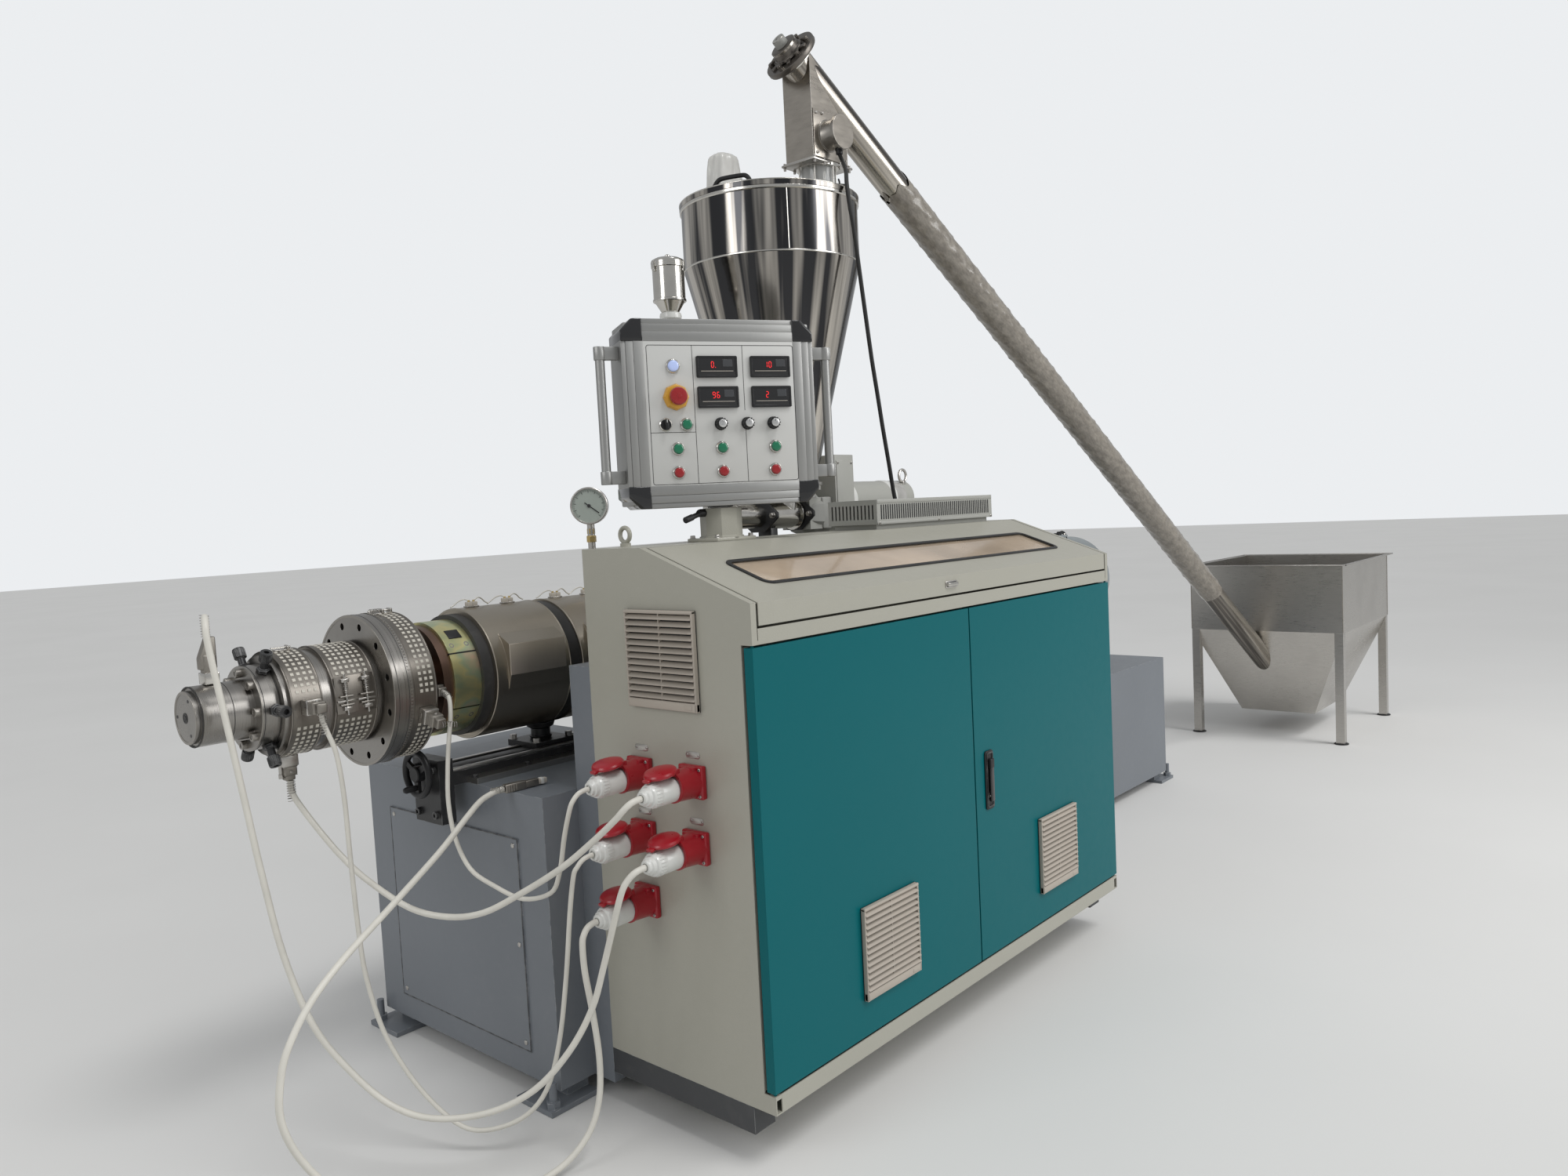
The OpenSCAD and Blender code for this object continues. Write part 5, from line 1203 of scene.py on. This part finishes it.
# Feeder: clamp rings, bolted flange, drive box and the wrapped motor
clampAt, motorFoot = (1065, 1243), 1250
feeder = [sleeve(x0, x1, 36, r, "chrome", 64, 1.5) for x0, x1, r in (
    (940, 950, 44), (1073, 1081, 51), (1228, 1236, 51))]
plate = block((-84, -52, -5), (84, 52, 5), "blackPlastic", 0)
for sx in (-1, 1):
    for sz in (-1, 1):
        plate = cutOff(plate, (66 * sx, 22 * sz, 0), (0.62 * sx, 0.785 * sz, 0))
plate = soften(plate, 1.6, 2, 20)
feeder += copies(plate, [shift(0, 0, x) @ turn(90, "Z") for x in clampAt])
for x in clampAt:
    for y in (-68, 68):
        feeder.append(at(hexBolt(8, 12), 0, y, x - 5, 180, "X"))
leg = block((1092, 906, 1108), (1124, 962, 1252), "blackSteel", 2)
settled([leg] + group(feeder, shift(0, axisY, 1292) @ turn(90, "Y")), "feederClamps")
drive = [block((1310, 868, 1239), (1361, 1000, 1344), "castGrey", 6, 3),
         block((1359, 849, 1239), (1461, 1019, 1481), "machineGrey", 3)]
casting = turned([(motorFoot - 0.6, 30), (motorFoot - 0.6, 62), (1262, 66), (1290, 74), (1312, 76)], "castGrey",
                 8)
drive.append(moved(casting, shift(0, axisY, 1292) @ turn(90, "Y") @ turn(22.5, "Z")))
for y in (897, 971):
    for z in (1252, 1312):
        drive.append(at(turned([(0, 11), (34, 11), (36, 9), (36, 5)], "castGrey", 24), 1312, y, z, -90, "Y"))
        drive.append(at(hexBolt(6, 8), 1277, y, z, -90, "Y"))
drive.append(block((1366, 846.5, 1254), (1454, 849.5, 1462), "machineGrey", 0.8))
drive += copies(moved(socketScrew(4, 3, sides=12), turn(90, "X")),
                [shift(x, 846.5, z) for x in (1374, 1446) for z in (1262, 1454)])
settled(drive, "feederGear")
motor = [turned([(0, 58), (4, 62), (36, 62), (40, 58)], "filmGrey", 64),
         turned([(40, 57), (250, 57)], "filmGrey", 64),
         turned([(250, 60), (254, 62.6), (340, 62.6), (362, 58), (376, 46), (382, 30), (384, 10)], "filmGrey",
                64),
         sleeve(22, 50, 56, 63.6, "plugWhite", 64, 2), sleeve(252, 286, 58, 64.2, "plugWhite", 64, 2)]
fin = block((56, -1.2, 52), (61.6, 1.2, 248), "filmGrey", 0.5, 1)
motor += copies(fin, [turn(a, "Z") for a in range(0, 360, 12)])
settled(motor, "feederMotor", machine @ shift(1460, axisY, 1332) @ turn(90, "Y"))
circle = [math.radians(20 * i) for i in range(19)]
ring = wireAlong([(22 * math.cos(a), 22 * math.sin(a), 0) for a in circle], 5, "stainless", 12, 2)
settled([at(ring, 1820, 900, 1410, 90, "X"), at(block((-8, -8, 0), (8, 8, 16), "stainless", 2), 1820, 900,
                                                1376)], "motorEye")

# Slotted guard: a row of black slots along the long face, painted shade in the openings, folded flange and
# screws
# black plates on the guard's face paint the shade inside each slot
slot = moved(loopFrame(4.6, 40, 0, 0.5, 2.1, "blackPlastic"), turn(90, "X"))
guard = copies(slot, [shift(881 + i * 10.4, 321.8, 1288) for i in range(54)])
guard += [block((862, 320.6, 1311), (1454, 323, 1321.6), "machineGrey", 0.8),
          block((862, 320.6, 1254.4), (1454, 323, 1262), "machineGrey", 0.8)]
guard += copies(moved(socketScrew(4, 2.5, sides=12), turn(90, "X")),
                [shift(x, 320.8, 1258.5) for x in (870, 1158, 1446)])
settled(guard, "guardSlotShades")
print("stage: feeder and guard")


# Bench, slide and support: panel screws, bolts, worn rails
bench = []
cross = welded([turned([(0, 6), (1.6, 5.6), (2.4, 3)], "stainless", 16)])
bench += copies(moved(cross, turn(-90, "Y")), [shift(-99, y, z) for y in (678, 1190) for z in (120, 350, 580)])
trim = loopFrame(549, 497, 3, 0.8, 2, "beamGrey")
bench.append(moved(trim, shift(-98.6, 934.5, 349.5) @ turn(-90, "Y") @ turn(90, "Z")))
for y, z in ((868, 640), (868, 745), (942, 640), (942, 745)):
    bench.append(at(socketScrew(9, 9, "blackSteel", 20), -168, y, z, -90, "Y"))
for x in (-90, 60, 210, 360):
    for y in (822, 988):
        bench.append(at(socketScrew(7, 7, "blackSteel", 16), x, y, 718))
for x, y in ((134, 884), (234, 884), (134, 984), (234, 984)):
    bench.append(at(hexBolt(9, 12), x, y, 751))
bench.append(block((-128, 853, 735), (430, 868, 741), "brightSteel", 1))
bench.append(block((-128, 942, 735), (430, 957, 741), "brightSteel", 1))
bench.append(block((-122, 884, 735), (420, 926, 739), "blackSteel", 1))
bench.append(at(turned([(0, 26), (8, 30), (8, 25)], "blackSteel", 32), 184, axisY, 751))
bench.append(at(turned([(0, 24), (6, 34), (18, 38)], "blackSteel", 32), 184, axisY, 776))
settled(bench, "benchFittings")
wheel = [turned([(-10, 17), (-8, 19), (10, 19), (13, 14), (13, 8)], "blackPlastic", 32),
         at(turned([(0, 4.6), (5, 7), (30, 7.6), (35, 5), (36, 1.6)], "blackPlastic", 24), 32, 0, -2, 180, "X")]
settled(wheel, "handwheelGrip", machine @ shift(-190, 905, 737) @ turn(90, "Y"),
        body="handwheel")
connector = [block((0, -9, 0), (52, 9, 20), "castPlug", 3, 3),
             block((48, -7, 2), (86, 7, 18), "castPlug", 2, 3),
             block((84, -6, 4), (108, 6, 16), "ceramic", 1.5), block((92, -7, 3), (100, 7, 17), "plugWhite", 1)]
for x in (8, 14, 20, 26):
    connector.append(block((x, -9.6, 3), (x + 2.4, 9.6, 17), "castPlug", 0.4, 1))
connector.append(at(coil(34, 7.6, 0.9, 9, "stainless"), 0, 0, 10, -90, "Y"))
settled(connector, "looseConnector", machine @ shift(-114, 674, 704.3) @ turn(-5, "Z"),
        ["spare_connector"])
print("stage: bench")


# Gearbox: split line bolts, side covers, sight glass; motor: cooling fins, cowl and terminal box
drivePieces = []
for x in range(1370, 2210, 74):
    for y in (632, 1236):
        drivePieces.append(at(hexBolt(9, 12), x, y, 974))
        drivePieces.append(at(hexBolt(9, 11), x, y, 926, 180, "X"))
for side, y in ((90, 648), (-90, 1220)):
    for x, z, r in ((1470, 830, 92), (1740, 790, 108), (2040, 790, 108), (1560, 1090, 62), (1900, 1090, 70)):
        plate = turned([(0, r), (9, r), (12, r - 3), (12, r * 0.62), (8, r * 0.58), (8, r * 0.2)],
                       "machineGrey", 64)
        screw = copies(hexBolt(6, 7), [turn(60 * i, "Z") @ shift(r * 0.81, 0, 12) for i in range(6)])
        drivePieces += group([plate] + screw, shift(x, y, z) @ turn(side, "X"))
    for x in (1390, 1640, 1890, 2160):
        sign = -1 if side > 0 else 1
        drivePieces.append(block((x - 6, min(y, y + sign * 20), 584), (x + 6, max(y, y + sign * 20), 924),
                                 "machineGrey", 3))
for x in (1420, 2150):
    circle = [math.radians(30 * i) for i in range(13)]
    ringEye = wireAlong([(20 * math.cos(a), 0, 20 * math.sin(a)) for a in circle], 6, "stainless", 12, 3)
    drivePieces.append(at(ringEye, x, 934, 1226))
    drivePieces.append(at(turned([(0, 16), (5, 16), (8, 10), (8, 5)], "stainless", 24), x, axisY, 1200))
drivePieces.append(block((1640, 820, 1199), (1960, 1048, 1210), "machineGrey", 3))
drivePieces += copies(hexBolt(6, 7), [shift(x, y, 1210) for x in (1656, 1800, 1944) for y in (836, 1032)])
drivePieces.append(at(turned([(0, 14), (20, 14), (22, 20), (40, 20), (44, 14)], "blackPlastic", 32), 1800,
                      axisY, 1209))
for x, y in ((1380, 640), (2186, 640), (1380, 1228), (2186, 1228)):
    drivePieces.append(at(hexBolt(13, 16), x, y, 584))
settled(drivePieces, "gearboxFittings")

motorParts = [turned([(0, 191), (8, 191.5), (52, 191.5), (58, 188), (60, 180)], "motorGrey", 96),
              turned([(470, 178), (474, 187), (480, 188.5), (590, 188.5), (601, 182), (603, 160), (603, 30)],
                     "motorGrey", 96)]
fin = block((174, -2, 62), (189, 2, 470), "motorGrey", 0.8, 1)
motorParts += copies(fin, [turn(a, "Z") for a in range(0, 360, 8)])
# black rings on the cowl's end paint the shade in its air slots
for r in (60, 90, 120, 145, 166):
    motorParts.append(sleeve(602.5, 604.4, r - 5, r, "blackPlastic", 64, 0.3))
settled(motorParts, "motorBody", machine @ shift(2600, axisY, 932) @ turn(90, "Y"))
boxParts = [block((2794, 838, 1128), (2986, 1030, 1137), "motorGrey", 2),
            block((2798, 842, 1066), (2982, 1026, 1130), "motorGrey", 6, 3)]
boxParts += copies(hexBolt(5, 6), [shift(x, y, 1137) for x in (2806, 2974) for y in (850, 1018)])
boxParts += [block((2936, 856, 1134), (2964, 884, 1146), "blackPlastic", 3),
             block((2960, 860, 1134), (2976, 880, 1152), "blackPlastic", 4),
             wireAlong([(2966, 870, 1144), (2992, 868, 1148), (3010, 866, 1138), (3022, 866, 1116),
                        (3026, 866, 1084)], 7,
                       "blackPlastic", 12, 3)]
boxParts += copies(hexBolt(11, 14), [shift(x, y, 574) for x in (2700, 2740, 3000, 3040) for y in (784, 1084)])
for x in (2680, 2980):
    boxParts.append(block((x - 6, 762, 560), (x + 86, 1106, 575), "machineGrey", 3))
settled(boxParts, "motorBox")
coupling = [sleeve(2262, 2290, 60, 128, "darkSteel", 64, 3), sleeve(2540, 2568, 60, 128, "darkSteel", 64, 3),
            sleeve(2380, 2450, 60, 118, "machineGrey", 64, 3)]
coupling += copies(hexBolt(9, 14), [turn(45 * i, "Z") @ shift(112, 0, 2290) for i in range(8)])
settled(group(coupling, shift(0, axisY, 932) @ turn(90, "Y")), "couplingRings")
print("stage: gearbox and motor")


# Bin: folded rim and welded corners; cabinet's back hatches; post lever and bolts
binParts = []
for low_, high_ in (((4352, 51, 897), (5304, 57, 904)), ((4352, 847, 897), (5304, 853, 904)),
                    ((4352, 51, 897), (4358, 853, 904)), ((5298, 51, 897), (5304, 853, 904))):
    binParts.append(block(low_, high_, "stainless", 1.5))
for x, y in ((4378, 77), (5278, 77), (4378, 827), (5278, 827)):
    binParts.append(rod((x, y, 562), (x, y, 896), 2.4, "hazeSteel", 8))
for x in (4398, 5258):
    for y in (97, 807):
        binParts.append(at(turned([(0, 34), (4, 34), (6, 30), (6, 12)], "blackPlastic", 24), x, y, 0))
settled(binParts, "binEdges")
backParts = []
for x0, x1 in ((60, 760), (797, 1497)):
    hatch = loopFrame(x1 - x0, 250, 0, 2, 4, "cabinetBeige", 0.8)
    backParts.append(at(hatch, (x0 + x1) / 2, 490, 1115, -90, "X"))
    backParts += copies(moved(socketScrew(5, 3, sides=12), turn(-90, "X")),
                        [shift(x, 492, z) for x in (x0 + 14, (x0 + x1) / 2, x1 - 14) for z in (1004, 1226)])
settled(backParts, "backHatches")
post = copies(hexBolt(6, 7), [shift(x, y, 1250) for x in (276, 388) for y in (346, 426)])
post += [block((267, 337, 1242), (397, 435, 1250), "cabinetBeige", 1.5),
         at(turned([(1249, 52), (1253, 52), (1254, 49), (1317.4, 49), (1318, 48.4)], "cabinetBeige", 8), 332,
            386, 0),
         at(turned([(1317, 24), (1343, 24)], "stainless", 32), 332, 386, 0),
         at(turned([(0, 9), (22, 9), (26, 7)], "blackPlastic", 24), 290, 392, 1308, -90, "Y"),
         rod((280, 392, 1310), (216, 384, 1294), 6, "blackPlastic", 16, 3),
         rod((242, 387, 1300.5), (212, 383.5, 1293), 7.4, "blackPlastic", 16, 3)]
settled(post, "panelPost", replaces=["panel_post"])
print("stage: bin, back and post")


# Stage, light and world
clearSelection()
bpy.ops.mesh.primitive_plane_add(size=80, location=(0, 0, -0.0005))
floor = bpy.context.object
floor.name = "floor"
f = Finish("floorPale", Specular_IOR_Level=0.3)
f.dress(f.blend(f.noise(0.8, 4), (0.66, 0.655, 0.64), (0.72, 0.715, 0.7)), 0.6, edge=0)
coated(floor, "floorPale")

world = bpy.data.worlds.new("paleWorld")
scene.world = world
world.use_nodes = True
tree = world.node_tree
light = tree.nodes["Background"]
path = tree.nodes.new("ShaderNodeLightPath")
level = None     # soft light on surfaces, a darker hall in mirrors, a bright background
for ray, strength in (("Is Glossy Ray", 0.45), ("Is Camera Ray", 0.9), ("Is Transmission Ray", 0.9)):
    step = tree.nodes.new("ShaderNodeMapRange")
    tree.links.new(path.outputs[ray], step.inputs["Value"])
    step.inputs["To Min"].default_value = 0.5
    step.inputs["To Max"].default_value = strength
    if level:
        tree.links.new(level.outputs[0], step.inputs["To Min"])
    level = step
tree.links.new(level.outputs[0], light.inputs["Strength"])
light.inputs["Color"].default_value = (0.93, 0.95, 0.97, 1)

lamps = {
    "skylight": {"kind": "SUN", "energy": 1.1, "size": 0.35, "place": (1.6, -4.5, 8.5), "aim": (1.2, 0.2, 0.6)},
    "leftBox": {"kind": "AREA", "energy": 50, "size": 2.2, "place": (-4.5, 0.5, 3.6), "aim": (-0.3, 0.2, 0.9)},
    "rightBox": {"kind": "AREA", "energy": 130, "size": 3.0, "place": (3.6, -5.0, 3.4), "aim": (1.4, 0.2, 1.2)},
}
for name, facts in lamps.items():
    lamp = bpy.data.lights.new(name, facts["kind"])
    lamp.energy = facts["energy"]
    if facts["kind"] == "SUN":
        lamp.angle = facts["size"]
    else:
        lamp.size = facts["size"]
    post = bpy.data.objects.new(name, lamp)
    scene.collection.objects.link(post)
    aim = Vector(facts["aim"]) - Vector(facts["place"])
    post.matrix_world = Matrix.Translation(facts["place"]) @ aim.to_track_quat("-Z", "Y").to_matrix().to_4x4()
print("stage: light")
